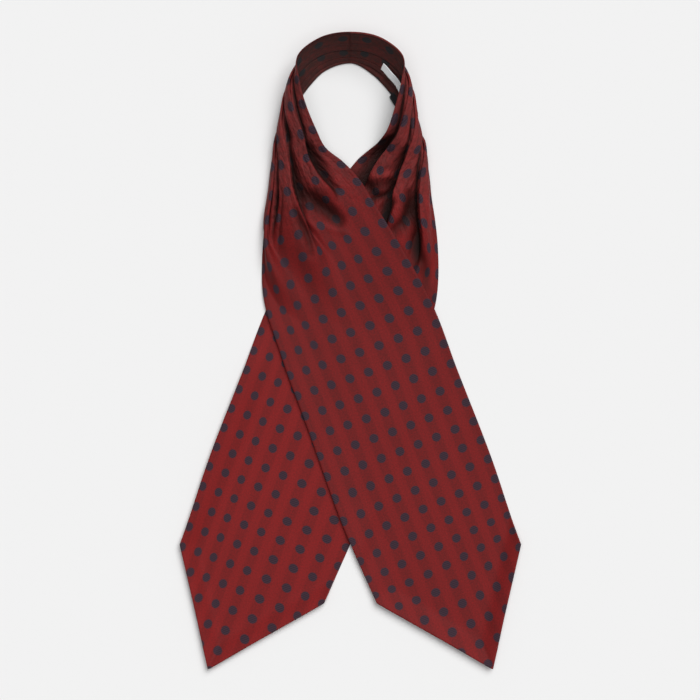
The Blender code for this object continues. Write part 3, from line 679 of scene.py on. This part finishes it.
def slipped(flat, slips):
    """The places on the flat cloth, with the rows of dots moved along it."""
    share = flat[..., 0] / CUT_WIDTH
    table = through(flat[..., 1].ravel(), [row[0] for row in slips], [row[1] for row in slips])
    inner, middle, hem = np.moveaxis(table.reshape(*share.shape, 3), -1, 0)
    # One parabola across the cloth passes through the three slips.
    slip = inner * (1 - share) * (1 - 2 * share)
    slip = slip + middle * 4 * share * (1 - share)
    slip = slip + hem * share * (2 * share - 1)
    flat = flat.copy()
    flat[..., 1] -= slip
    return flat


over_flat, under_flat = slipped(over_flat, OVER_SLIPS), slipped(under_flat, UNDER_SLIPS)
most = max(abs(slip) for row in OVER_SLIPS + UNDER_SLIPS for slip in row[1])
print("the dots have slipped by up to", most, "mm")

# %% [markdown]
# ## From a sheet to doubled silk
#
# The maker folds the silk over a light interlining, so the cloth is not a thin sheet. It is a flat
# sleeve, and along its two long sides and its point the fold is soft and a little fat. We make it from
# two skins, one on each side of the rows, and let them meet at the edges. The gap between the skins
# swells just inside the edge, and that is the soft roll which catches the light.

# %% Thickness of the doubled silk
HALF_WALL = 0.35  # half of the cloth's thickness
ROLL = 0.25  # how much fatter half of the cloth is in the rolled edge
ROLL_FROM_EDGE, ROLL_WIDTH = 2.0, 1.5
ROUNDING = 1.3  # over this distance the two skins come together


def half_thickness(rows):
    """Half the cloth's thickness at each point, from its distance to the nearest free edge."""
    from_edge = np.linalg.norm(rows - rows[:, :1], axis=2)
    from_hem = np.linalg.norm(rows - rows[:, -1:], axis=2)
    from_end = np.linalg.norm(rows - rows[-1:], axis=2)
    near = np.minimum(np.minimum(from_edge, from_hem), from_end)
    roll = ROLL * np.exp(-(((near - ROLL_FROM_EDGE) / ROLL_WIDTH) ** 2))
    round_off = np.sqrt(1 - (1 - np.clip(near / ROUNDING, 0, 1)) ** 2)
    return (HALF_WALL + roll) * round_off


def outward(rows):
    """The direction out of the cloth at each point of its rows."""
    normals = np.cross(np.gradient(rows, axis=1), np.gradient(rows, axis=0))
    return normals / np.linalg.norm(normals, axis=2)[..., None]


print(f"the silk is {2 * HALF_WALL} mm thick, and {2 * (HALF_WALL + ROLL):.1f} mm in its rolled edge")

# %% Two skins
def quads_between(grid):
    """The four corners of every face of a grid of numbered points."""
    return np.stack([grid[:-1, :-1], grid[:-1, 1:], grid[1:, 1:], grid[1:, :-1]], axis=-1).reshape(-1, 4)


def skin_faces(count, across, turned_over):
    """The faces of an upper and a lower skin, joined along every edge, as numbers of points."""
    upper = np.arange(count * across).reshape(count, across)
    lower = upper + count * across
    # On the two long edges and at the point the skins share their last points.
    for edge in (np.s_[:, 0], np.s_[:, -1], np.s_[-1, :]):
        lower[edge] = upper[edge]
    quads = []
    for grid, flip in ((upper, False), (lower, True)):
        corners = quads_between(grid)
        quads.append(corners[:, ::-1] if flip == turned_over else corners)
    seam = np.stack([upper[0, :-1], lower[0, :-1], lower[0, 1:], upper[0, 1:]], axis=-1)
    quads.append(seam[:, ::-1] if turned_over else seam)
    return np.concatenate(quads)


print("the two skins of the over half have", len(skin_faces(*over_rows.shape[:2], True)), "faces")

# %% [markdown]
# ## Maps for the silk
#
# A finish needs to know more about the cloth than its shape. We store six numbers at every corner of
# the mesh, in three maps: the place on the flat cloth, the painted shade of the hollows and the share
# of the painted, browner shade inside the ring, and the painted sheen or shade along each half. Blender
# reads such maps as UV maps.
#
# A texture painted by hand could carry the same shading, but it would blur when one comes close.

# %% Maps of each half
CLOTH_UNIT = 100.0  # the map of the flat cloth is in units of 100 mm
INSIDE_UNTIL = (90, 150)  # over this length of cloth the inside of the ring ends
# On the inside the columns of dots stand further from the edge: by place on the cloth, this much.
INSIDE_COLUMNS = ((30, 38), (5.5, 11.2))
RIM = 2.0  # the rolled top edge of the ring, kept out of the inside's painted shade so that it looks lit
RIM_PAINTED_SHADE = 0.5  # the painted shade of the thin line just inside it
RIM_LINE = (1.3 * RIM, 0.4 * RIM, 0.5 * RIM)  # where that line lies, and its spread on either side
# Painted sheen and shade along each half, as the twill turns towards the light or away from it.
OVER_PAINTED_LIGHT = [(0, -0.06), (120, -0.10), (200, -0.10), (300, -0.05), (400, 0.02), (640, 0.03)]
UNDER_PAINTED_LIGHT = [(0, 0.0), (150, 0.06), (260, 0.08), (330, 0.16), (640, 0.17)]


def map_values(rows, flat, painted_light_table, turned_over):
    """For each point of the upper and then the lower skin, the six numbers of its three maps."""
    along = flat[..., 1].ravel()
    from_edge = np.linalg.norm(rows - rows[:, :1], axis=2).ravel()
    # The painted shade inside the ring fades out towards its rolled top edge and where the neck ends.
    in_ring = 1 - ease((along - INSIDE_UNTIL[0]) / (INSIDE_UNTIL[1] - INSIDE_UNTIL[0]))
    tone = through(along, [row[0] for row in painted_light_table], [row[1] for row in painted_light_table])
    none = np.zeros(len(along))
    outside = np.column_stack([flat.reshape(-1, 3), none, tone, none])
    inside = outside.copy()
    inside[:, 0] -= np.interp(inside[:, 0], *INSIDE_COLUMNS)
    inside[:, 3] = in_ring * ease(from_edge / RIM)
    # A thin line of painted shade lies just inside the rolled top edge.
    inside[:, 2] = np.maximum(inside[:, 2], in_ring * RIM_PAINTED_SHADE * bump_at(from_edge, *RIM_LINE))
    values = np.concatenate([outside, inside] if turned_over else [inside, outside])
    values[:, :2] /= CLOTH_UNIT
    return values


def corner_points(mesh):
    """The number of the point at each corner of the mesh's faces."""
    numbers = np.zeros(len(mesh.loops), int)
    mesh.loops.foreach_get("vertex_index", numbers)
    return numbers


def write_map(mesh, name, pairs):
    """A map of the mesh, from a pair of numbers for each corner."""
    mesh.uv_layers.new(name=name).data.foreach_set("uv", pairs.astype(np.float32).ravel())


print("inside the ring the columns of dots lie", INSIDE_COLUMNS[1], "mm further from the edge")

# %% The two halves
def add_piece(name, mesh):
    """The mesh as an object in the scene."""
    piece = bpy.data.objects.new(name, mesh)
    bpy.context.scene.collection.objects.link(piece)
    return piece


def silk_piece(name, rows, flat, painted_light_table, turned_over):
    """Two skins round the rows, joined along every edge, with the silk's maps."""
    half = half_thickness(rows)
    normals = outward(rows)
    rows = rows.copy()
    rows[..., 2] = np.maximum(rows[..., 2], half)
    offset = normals * half[..., None]
    points = np.concatenate([(rows + offset).reshape(-1, 3), (rows - offset).reshape(-1, 3)])
    quads = skin_faces(*rows.shape[:2], turned_over)
    used = np.unique(quads)
    renumber = np.full(len(points), -1)
    renumber[used] = np.arange(len(used))
    faces = [list(dict.fromkeys(face)) for face in renumber[quads].tolist()]
    mesh = bpy.data.meshes.new(name)
    mesh.from_pydata((points[used] * MM).tolist(), [], [face for face in faces if len(face) > 2])
    values = map_values(rows, flat, painted_light_table, turned_over)[used][corner_points(mesh)]
    for number, name_of_map in enumerate(("flat_cloth", "shade", "tone")):
        write_map(mesh, name_of_map, values[:, 2 * number : 2 * number + 2])
    mesh.shade_smooth()
    return add_piece(name, mesh)


over = silk_piece("over_half_silk", over_rows, over_flat, OVER_PAINTED_LIGHT, True)
under = silk_piece("under_half_silk", under_rows * MIRROR, under_flat, UNDER_PAINTED_LIGHT, False)
for half in (over, under):
    print(half.name, "has", len(half.data.polygons), "faces")

# %% [markdown]
# ## The silk
#
# The cloth is woven with a fine diagonal twill. Navy dots stand in straight columns along the cloth,
# and under each column runs a slightly darker stripe. All of this is worked out from the map of the
# flat cloth, so the pattern bends, hides and shows exactly as the pleats do.
#
# The neck looks different from the blades. Steam and pressing have drawn its dots in and left fine
# crinkles, and a painted sheen makes its red a little duller and browner. Inside the ring a painted
# shade makes the silk darker and browner still. The maps say where that is so.
#
# An image texture would also do, but arithmetic on the map stays sharp at any distance.

# %% Small node helpers
def new_material(name):
    """A new material, with its node tree and its shader."""
    material = bpy.data.materials.new(name)
    material.use_nodes = True
    tree = material.node_tree
    return material, tree, tree.nodes["Principled BSDF"]


def math_node(tree, operation, *inputs):
    """The output of a sum on numbers and on other nodes' outputs."""
    node = tree.nodes.new("ShaderNodeMath")
    node.operation = operation
    for socket, value in zip(node.inputs, inputs):
        if isinstance(value, (int, float)):
            socket.default_value = value
        else:
            tree.links.new(value, socket)
    return node.outputs[0]


def mix_colour(tree, share, first, second):
    """A colour that goes from the first to the second as the share goes from 0 to 1."""
    node = tree.nodes.new("ShaderNodeMix")
    node.data_type = "RGBA"
    for name, value in (("Factor_Float", share), ("A_Color", first), ("B_Color", second)):
        socket = next(s for s in node.inputs if s.identifier == name)
        if isinstance(value, (int, float)):
            socket.default_value = value
        elif isinstance(value, tuple):
            socket.default_value = (*value, 1)
        else:
            tree.links.new(value, socket)
    return next(s for s in node.outputs if s.identifier == "Result_Color")


def step_between(tree, value, low, high):
    """0 to 1 with soft ends, as a value goes from low to high."""
    node = tree.nodes.new("ShaderNodeMapRange")
    node.interpolation_type = "SMOOTHSTEP"
    tree.links.new(value, node.inputs["Value"])
    node.inputs["From Min"].default_value = low
    node.inputs["From Max"].default_value = high
    return node.outputs["Result"]


print("helpers for sums, mixed colours and soft steps are ready")

# %% Helpers for maps, noise and relief
def read_map(tree, name):
    """A map of the mesh, as a vector."""
    node = tree.nodes.new("ShaderNodeUVMap")
    node.uv_map = name
    return node.outputs["UV"]


def parts(tree, vector):
    """The two numbers of a map."""
    node = tree.nodes.new("ShaderNodeSeparateXYZ")
    tree.links.new(vector, node.inputs[0])
    return node.outputs["X"], node.outputs["Y"]


def stretched(tree, vector, across, along):
    """A map with its two directions scaled unequally, for a noise that is longer one way."""
    node = tree.nodes.new("ShaderNodeVectorMath")
    node.operation = "MULTIPLY"
    tree.links.new(vector, node.inputs[0])
    node.inputs[1].default_value = (across, along, 1.0)
    return node.outputs["Vector"]


def noise(tree, vector, scale, detail):
    """A soft random pattern from 0 to 1, the same each time."""
    node = tree.nodes.new("ShaderNodeTexNoise")
    node.inputs["Scale"].default_value = scale
    node.inputs["Detail"].default_value = detail
    tree.links.new(vector, node.inputs["Vector"])
    return node.outputs["Fac"]


def relief(tree, height, strength, distance, normal=None):
    """A fine relief that turns the light, given its height in millimetres."""
    node = tree.nodes.new("ShaderNodeBump")
    node.inputs["Strength"].default_value = strength
    node.inputs["Distance"].default_value = distance * MM
    tree.links.new(height, node.inputs["Height"])
    if normal is not None:
        tree.links.new(normal, node.inputs["Normal"])
    return node.outputs["Normal"]


print("helpers for maps, noise and relief are ready")

# %% Dots and stripes
DOT_RADIUS = 4.3
DOT_SOFT = (0.6, 0.5)  # how far the dot's soft edge reaches outwards and inwards
DOT_RAGGED, DOT_THREADS = 0.5, (90.0, 2.0)  # how uneven the edge is, and its noise's scale and detail
COLUMN_PITCH, FIRST_COLUMN = 19.1, 3.4
ROW_PITCH, FIRST_ROW = 20.0, 6.0
STRIPE_HALF = 5.1  # half of the darker stripe under a column of dots
STRIPE_SOFT = 1.8
NECK = (215, 110)  # the neck's drawn-in dots, crinkles and painted sheen show not at all at 215 mm, fully from 110 mm
NECK_SLIMMER, NECK_SHORTER = 0.22, 0.14  # how much the neck's dots are drawn in, across and along


def folded_back(tree, value, pitch, first):
    """How far a value is from the nearest line of a row of lines."""
    from_first = math_node(tree, "SUBTRACT", value, first)
    half_back = math_node(tree, "ADD", from_first, pitch / 2)
    turns = math_node(tree, "FLOORED_MODULO", half_back, pitch)
    return math_node(tree, "SUBTRACT", turns, pitch / 2)


def dot_share(tree, cloth, from_column, along, in_neck):
    """1 on a dot and 0 beside it, with a slightly ragged woven edge."""
    from_row = folded_back(tree, along, ROW_PITCH, FIRST_ROW)
    slimmer = math_node(tree, "MULTIPLY_ADD", in_neck, NECK_SLIMMER, 1.0)
    shorter = math_node(tree, "MULTIPLY_ADD", in_neck, NECK_SHORTER, 1.0)
    squares = [
        math_node(tree, "POWER", math_node(tree, "MULTIPLY", distance, scale), 2.0)
        for distance, scale in ((from_column, slimmer), (from_row, shorter))
    ]
    from_dot = math_node(tree, "SQRT", math_node(tree, "ADD", *squares))
    threads = noise(tree, cloth, *DOT_THREADS)
    ragged = math_node(tree, "MULTIPLY_ADD", threads, DOT_RAGGED, -DOT_RAGGED / 2)
    edge = math_node(tree, "ADD", from_dot, ragged)
    return step_between(tree, edge, DOT_RADIUS + DOT_SOFT[0], DOT_RADIUS - DOT_SOFT[1])


print("the silk's dots are", 2 * DOT_RADIUS, "mm wide, on a grid of", COLUMN_PITCH, "by", ROW_PITCH, "mm")

# %% The red ground
GROUND = (0.235, 0.0140, 0.0140)
GROUND_DARK = (0.100, 0.0115, 0.0115)
NECK_PAINTED_SHEEN = (0.155, 0.042, 0.040)  # painted sheen that makes the neck look a little browner and duller
NECK_SHEEN_SHARE = 0.36
# Noises as scale and detail: uneven dye, streaks of thread, grain, and the mottled neck's two sizes.
DYE, STREAK, GRAIN, MOTTLE_FINE, MOTTLE_COARSE = (2.2, 3.0), (1.0, 2.0), (70.0, 1.0), (26.0, 2.0), (9.0, 2.0)
STREAK_STRETCH = (40.0, 4.0)  # across the cloth and along it
# What each of them adds on the way from the ground to its dark shade.
STRIPE_SHADE, DYE_SHADE, STREAK_SHADE, GRAIN_SHADE, MOTTLE_SHADE = 0.24, 0.24, 0.26, 1.1, 1.4
MIDDLE_SHADE = 0.32  # taken off again, so that the red stays as bright as the dye is


def ground_shade(tree, cloth, from_column, uneven, in_neck):
    """How far the ground is from its bright to its dark shade, from 0 to 1."""
    from_stripe = math_node(tree, "ABSOLUTE", from_column)
    stripe = step_between(tree, from_stripe, STRIPE_HALF + STRIPE_SOFT, STRIPE_HALF - STRIPE_SOFT)
    streaks = noise(tree, stretched(tree, cloth, *STREAK_STRETCH), *STREAK)
    grain = noise(tree, cloth, *GRAIN)
    patches = math_node(tree, "ADD", noise(tree, cloth, *MOTTLE_FINE), noise(tree, cloth, *MOTTLE_COARSE))
    mottled = math_node(tree, "MULTIPLY", patches, in_neck)
    dye = math_node(tree, "MULTIPLY", uneven, DYE_SHADE)
    shade = math_node(tree, "MULTIPLY_ADD", stripe, STRIPE_SHADE, dye)
    shade = math_node(tree, "MULTIPLY_ADD", streaks, STREAK_SHADE, shade)
    shade = math_node(tree, "SUBTRACT", shade, MIDDLE_SHADE)
    shade = math_node(tree, "MULTIPLY_ADD", grain, GRAIN_SHADE, shade)
    # Two noises of 0.5 on average are added in the neck, so their sum is taken off there again.
    shade = math_node(tree, "MULTIPLY_ADD", in_neck, -MOTTLE_SHADE, shade)
    shade = math_node(tree, "MULTIPLY_ADD", mottled, MOTTLE_SHADE, shade)
    # The third map adds painted sheen or painted shade along each half.
    tone, _ = parts(tree, read_map(tree, "tone"))
    return math_node(tree, "SUBTRACT", shade, tone)


print("in the neck", NECK_SHEEN_SHARE, "of the red is the browner one")

# %% Dotted silk
TWILL_PITCH = 1.1
HATCH_PITCH = 2.5  # the navy threads float in wider ribs than the ground's
NAVY = (0.050, 0.027, 0.041)
NAVY_DARK = (0.030, 0.017, 0.023)
HOLLOW_PAINTED_SHADE = (0.010, 0.0048, 0.0040)  # painted shade at the bottom of a deep hollow or crack
INSIDE_PAINTED_SHADE = (0.0185, 0.0265, 0.0225)  # painted shade inside the ring, where the silk looks darker and browner
INSIDE_SHADE_SHARE = 0.6
INSIDE_SMOOTH = 0.75  # how much less the inside of the ring is crinkled
CRINKLE = 3.5  # how strongly the neck's fine crinkles turn the light
CRINKLE_STRETCH, CRINKLE_NOISE = (24.0, 11.0), (1.0, 3.0)
WEAVE_STRENGTH, WEAVE_DEPTH = 0.35, 0.05
DOT_RAISED, TWILL_RAISED = 0.6, 0.5
ROUGH, ROUGHER_DOT, ROUGHER_DYE = 0.56, 0.08, 0.06


def ribs(tree, slant, pitch):
    """Diagonal ribs of thread, from -1 to 1."""
    return math_node(tree, "SINE", math_node(tree, "MULTIPLY", slant, 2 * math.pi / pitch))


def dotted_silk():
    """The silk: its woven pattern, the steamed neck, its painted sheen and the painted shade in the ring and
    hollows.
    """
    material, tree, shader = new_material("dotted_silk")
    cloth = read_map(tree, "flat_cloth")
    across, along = (math_node(tree, "MULTIPLY", part, CLOTH_UNIT) for part in parts(tree, cloth))
    # The first is the share of painted shade in hollows and cracks, the second the share of the ring's
    # inside.
    hollow, inside = parts(tree, read_map(tree, "shade"))
    slant = math_node(tree, "ADD", across, along)
    from_column = folded_back(tree, across, COLUMN_PITCH, FIRST_COLUMN)
    in_neck = step_between(tree, along, *NECK)
    uneven = noise(tree, cloth, *DYE)
    dot = dot_share(tree, cloth, from_column, along, in_neck)

    shade = ground_shade(tree, cloth, from_column, uneven, in_neck)
    # Painted sheen makes the neck browner outside the ring; inside it the painted shade takes over.
    outside_share = math_node(tree, "MULTIPLY_ADD", inside, -NECK_SHEEN_SHARE, NECK_SHEEN_SHARE)
    neck_sheen_share = math_node(tree, "MULTIPLY", math_node(tree, "POWER", in_neck, 2.0), outside_share)
    ground = mix_colour(tree, neck_sheen_share, mix_colour(tree, shade, GROUND, GROUND_DARK), NECK_PAINTED_SHEEN)
    hatch = math_node(tree, "MULTIPLY_ADD", ribs(tree, slant, HATCH_PITCH), 0.5, 0.5)
    pattern = mix_colour(tree, dot, ground, mix_colour(tree, hatch, NAVY, NAVY_DARK))
    # Painted shade: darker and browner inside the ring, and darkest at the bottom of hollows and cracks.
    pattern = mix_colour(tree, math_node(tree, "MULTIPLY", inside, INSIDE_SHADE_SHARE), pattern, INSIDE_PAINTED_SHADE)
    tree.links.new(mix_colour(tree, hollow, pattern, HOLLOW_PAINTED_SHADE), shader.inputs["Base Color"])

    rough = math_node(tree, "MULTIPLY_ADD", dot, ROUGHER_DOT, ROUGH)
    rough = math_node(tree, "MULTIPLY_ADD", uneven, ROUGHER_DYE, rough)
    tree.links.new(rough, shader.inputs["Roughness"])
    # Steaming leaves fine crinkles in the neck, longer along the cloth than across it.
    crinkle = noise(tree, stretched(tree, cloth, *CRINKLE_STRETCH), *CRINKLE_NOISE)
    steamed = math_node(tree, "SUBTRACT", in_neck, math_node(tree, "MULTIPLY", inside, INSIDE_SMOOTH))
    creased = relief(tree, math_node(tree, "MULTIPLY", crinkle, steamed), 1.0, CRINKLE)
    twill = math_node(tree, "MULTIPLY", ribs(tree, slant, TWILL_PITCH), TWILL_RAISED)
    weave = math_node(tree, "MULTIPLY_ADD", dot, DOT_RAISED, twill)
    tree.links.new(relief(tree, weave, WEAVE_STRENGTH, WEAVE_DEPTH, creased), shader.inputs["Normal"])
    shader.inputs["Specular IOR Level"].default_value = 0.08
    shader.inputs["Sheen Weight"].default_value = 0.02
    shader.inputs["Sheen Roughness"].default_value = 0.35
    shader.inputs["Sheen Tint"].default_value = (0.75, 0.28, 0.26, 1)
    return material


silk = dotted_silk()
for half in (over, under):
    half.data.materials.append(silk)
print("the silk's material has", len(silk.node_tree.nodes), "nodes")

# %% [markdown]
# ## Label and care tag
#
# Inside the neckband a maker sews a narrow woven label, held at its ends so that it waves a little
# between them, and below it a short black tag. Both are left plain here.
#
# A tape could be a flat strip that is wrapped round the band by a modifier. Its rows are taken from
# the band's own sections instead, a little way in, so it follows the band wherever that turns.

# %% Tapes
# Each tape's place along the band and across it, and how much further from the edge its far end is.
LABEL_ALONG, LABEL_ACROSS, LABEL_SLANT = (31.7, 70.2), (27.1, 35.6), 2.2
TAG_ALONG, TAG_ACROSS, TAG_SLANT = (54.0, 75.0), (43.5, 50.8), 0.0
# How many waves a tape has between its ends, and how high they are.
LABEL_WAVES, TAG_WAVES = (2.0, 1.2), (1.0, 0.3)
TAPE_HALF = 0.18  # half a tape's thickness
TAPE_CLEAR = 1.55  # from the band's middle to the tape's
TAPE_ROWS, TAPE_POINTS = 45, 13
TAPE_CELL = 0.8  # the size of a cell in the map of a tape


def tape_rows(along_range, across_range, slant, waves, height):
    """Rows of a tape on the inner face of the under half's band, with soft waves along it."""
    rows = []
    for along in np.linspace(*along_range, TAPE_ROWS):
        share = (along - along_range[0]) / (along_range[1] - along_range[0])
        frame_here = section_frame(along, True)
        points, distances, _ = frame_here
        across = np.linspace(*across_range, TAPE_POINTS) + slant * share
        wave = height * math.sin(share * waves * math.pi) ** 2
        row = raised(frame_here, across, -TAPE_CLEAR - wave * np.ones(len(across)))
        # Past the band's hem the tape goes straight on, level with the table.
        level = (points[-1] - points[-2]) * (1, 1, 0)
        past = np.maximum(across - distances[-1], 0)
        rows.append(row + past[:, None] * level / np.linalg.norm(level))
    return np.array(rows) * MIRROR


def tape(name, rows):
    """A tape with a thin wall, from its rows of points."""
    count, across = rows.shape[:2]
    faces = quads_between(np.arange(count * across).reshape(count, across))
    mesh = bpy.data.meshes.new(name)
    mesh.from_pydata((rows.reshape(-1, 3) * MM).tolist(), [], faces.tolist())
    cells = np.stack(np.meshgrid(np.arange(across), np.arange(count)), axis=-1).reshape(-1, 2)
    write_map(mesh, "flat_cloth", (cells * TAPE_CELL / CLOTH_UNIT)[corner_points(mesh)])
    mesh.shade_smooth()
    piece = add_piece(name, mesh)
    wall = piece.modifiers.new("wall", "SOLIDIFY")
    wall.thickness = 2 * TAPE_HALF * MM
    wall.offset = 0
    return piece


label = tape("label_tape", tape_rows(LABEL_ALONG, LABEL_ACROSS, LABEL_SLANT, *LABEL_WAVES))
tag = tape("tag_tape", tape_rows(TAG_ALONG, TAG_ACROSS, TAG_SLANT, *TAG_WAVES))
print("tapes:", label.name, tag.name)

# %% Finish of the tapes
LABEL_WHITE, LABEL_SHADE, LABEL_ROUGH = (0.99, 1.0, 1.0), (0.92, 0.95, 0.98), 0.5
TAG_BLACK, TAG_SHADE, TAG_ROUGH = (0.010, 0.010, 0.013), (0.004, 0.004, 0.005), 0.6
TAPE_RIB = 0.7  # from one rib of the woven tape to the next
TAPE_RIB_SHADE, TAPE_NOISE = 0.25, (60.0, 2.0)
TAPE_STRENGTH, TAPE_DEPTH = 0.4, 0.05


def tape_finish(name, colour, dark, roughness):
    """Ribbed woven tape in one colour."""
    material, tree, shader = new_material(name)
    cloth = read_map(tree, "flat_cloth")
    _, length = parts(tree, cloth)
    woven = math_node(tree, "SINE", math_node(tree, "MULTIPLY", length, CLOTH_UNIT * 2 * math.pi / TAPE_RIB))
    share = math_node(tree, "MULTIPLY_ADD", woven, TAPE_RIB_SHADE, noise(tree, cloth, *TAPE_NOISE))
    tree.links.new(mix_colour(tree, share, colour, dark), shader.inputs["Base Color"])
    tree.links.new(relief(tree, woven, TAPE_STRENGTH, TAPE_DEPTH), shader.inputs["Normal"])
    shader.inputs["Roughness"].default_value = roughness
    shader.inputs["Specular IOR Level"].default_value = 0.3
    return material


label.data.materials.append(tape_finish("white_label", LABEL_WHITE, LABEL_SHADE, LABEL_ROUGH))
tag.data.materials.append(tape_finish("black_tag", TAG_BLACK, TAG_SHADE, TAG_ROUGH))
print("finishes:", label.data.materials[0].name, tag.data.materials[0].name)

# %% [markdown]
# ## Table, light and camera
#
# The cravat lies on a plain pale table. A soft key light comes from the upper right, a softer one from
# overhead, and an even light from all round fills the shadows. Suns with a wide angle are used for
# both, because a sun lights every part of the table alike.
#
# The camera looks straight down from high above, so that the near and far parts of the cravat keep
# their true proportions.

# %% The table
TABLE_SIZE = 6.0  # in metres
TABLE_WHITE = 0.83


def table():
    """A plain pale table top, level with the underside of the cravat."""
    half = TABLE_SIZE / 2
    mesh = bpy.data.meshes.new("table")
    corners = [(-half, -half, 0), (half, -half, 0), (half, half, 0), (-half, half, 0)]
    mesh.from_pydata(corners, [], [(0, 1, 2, 3)])
    material, _, shader = new_material("table_white")
    shader.inputs["Base Color"].default_value = (TABLE_WHITE, TABLE_WHITE, TABLE_WHITE, 1)
    shader.inputs["Roughness"].default_value = 0.9
    shader.inputs["Specular IOR Level"].default_value = 0.0
    mesh.materials.append(material)
    return add_piece("table", mesh)


table()
print("the table is", TABLE_SIZE, "m wide")

# %% The light
FILL = 0.15
# strength, degrees across, height above the table, from the right towards the back
LAMPS = {"key": (2.15, 40, 54, 60), "overhead": (1.15, 56, 86, 60)}

world = bpy.data.worlds.new("studio")
bpy.context.scene.world = world
world.use_nodes = True
world.node_tree.nodes["Background"].inputs["Color"].default_value = (1, 1, 1, 1)
world.node_tree.nodes["Background"].inputs["Strength"].default_value = FILL
for name, (strength, softness, height, side) in LAMPS.items():
    light = bpy.data.lights.new(name, "SUN")
    light.energy = strength
    light.angle = math.radians(softness)
    lamp = bpy.data.objects.new(name, light)
    lamp.rotation_euler = (0, math.radians(90 - height), math.radians(side))
    bpy.context.scene.collection.objects.link(lamp)
bpy.context.scene.view_settings.view_transform = "Standard"
print("lamps:", ", ".join(LAMPS))

# %% The camera
EYE = (-0.39, 1.32, 2600.0)
SEEN_WIDTH = 677.6  # how much of the table the view takes in
SENSOR = 36.0

camera = bpy.data.cameras.new("camera")
camera.sensor_width = SENSOR
camera.lens = SENSOR * EYE[2] / SEEN_WIDTH
eye = bpy.data.objects.new("camera", camera)
eye.location = [value * MM for value in EYE]
bpy.context.scene.collection.objects.link(eye)
bpy.context.scene.camera = eye
print("lens", round(camera.lens, 1), "mm")

# %% [markdown]
# ## The pieces and the model
#
# Every piece is tied to the one body of the model, and the plain solid that it stands for is hidden.

# %% Tie the pieces to the frame
for piece, node, slot in (
    (over, "over_half", "dotted_silk"),
    (under, "under_half", "dotted_silk"),
    (label, "maker_label", "white_label"),
    (tag, "care_tag", "black_tag"),
):
    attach(piece, "root")
    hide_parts(node)
    print(piece.name, "stands for", node)
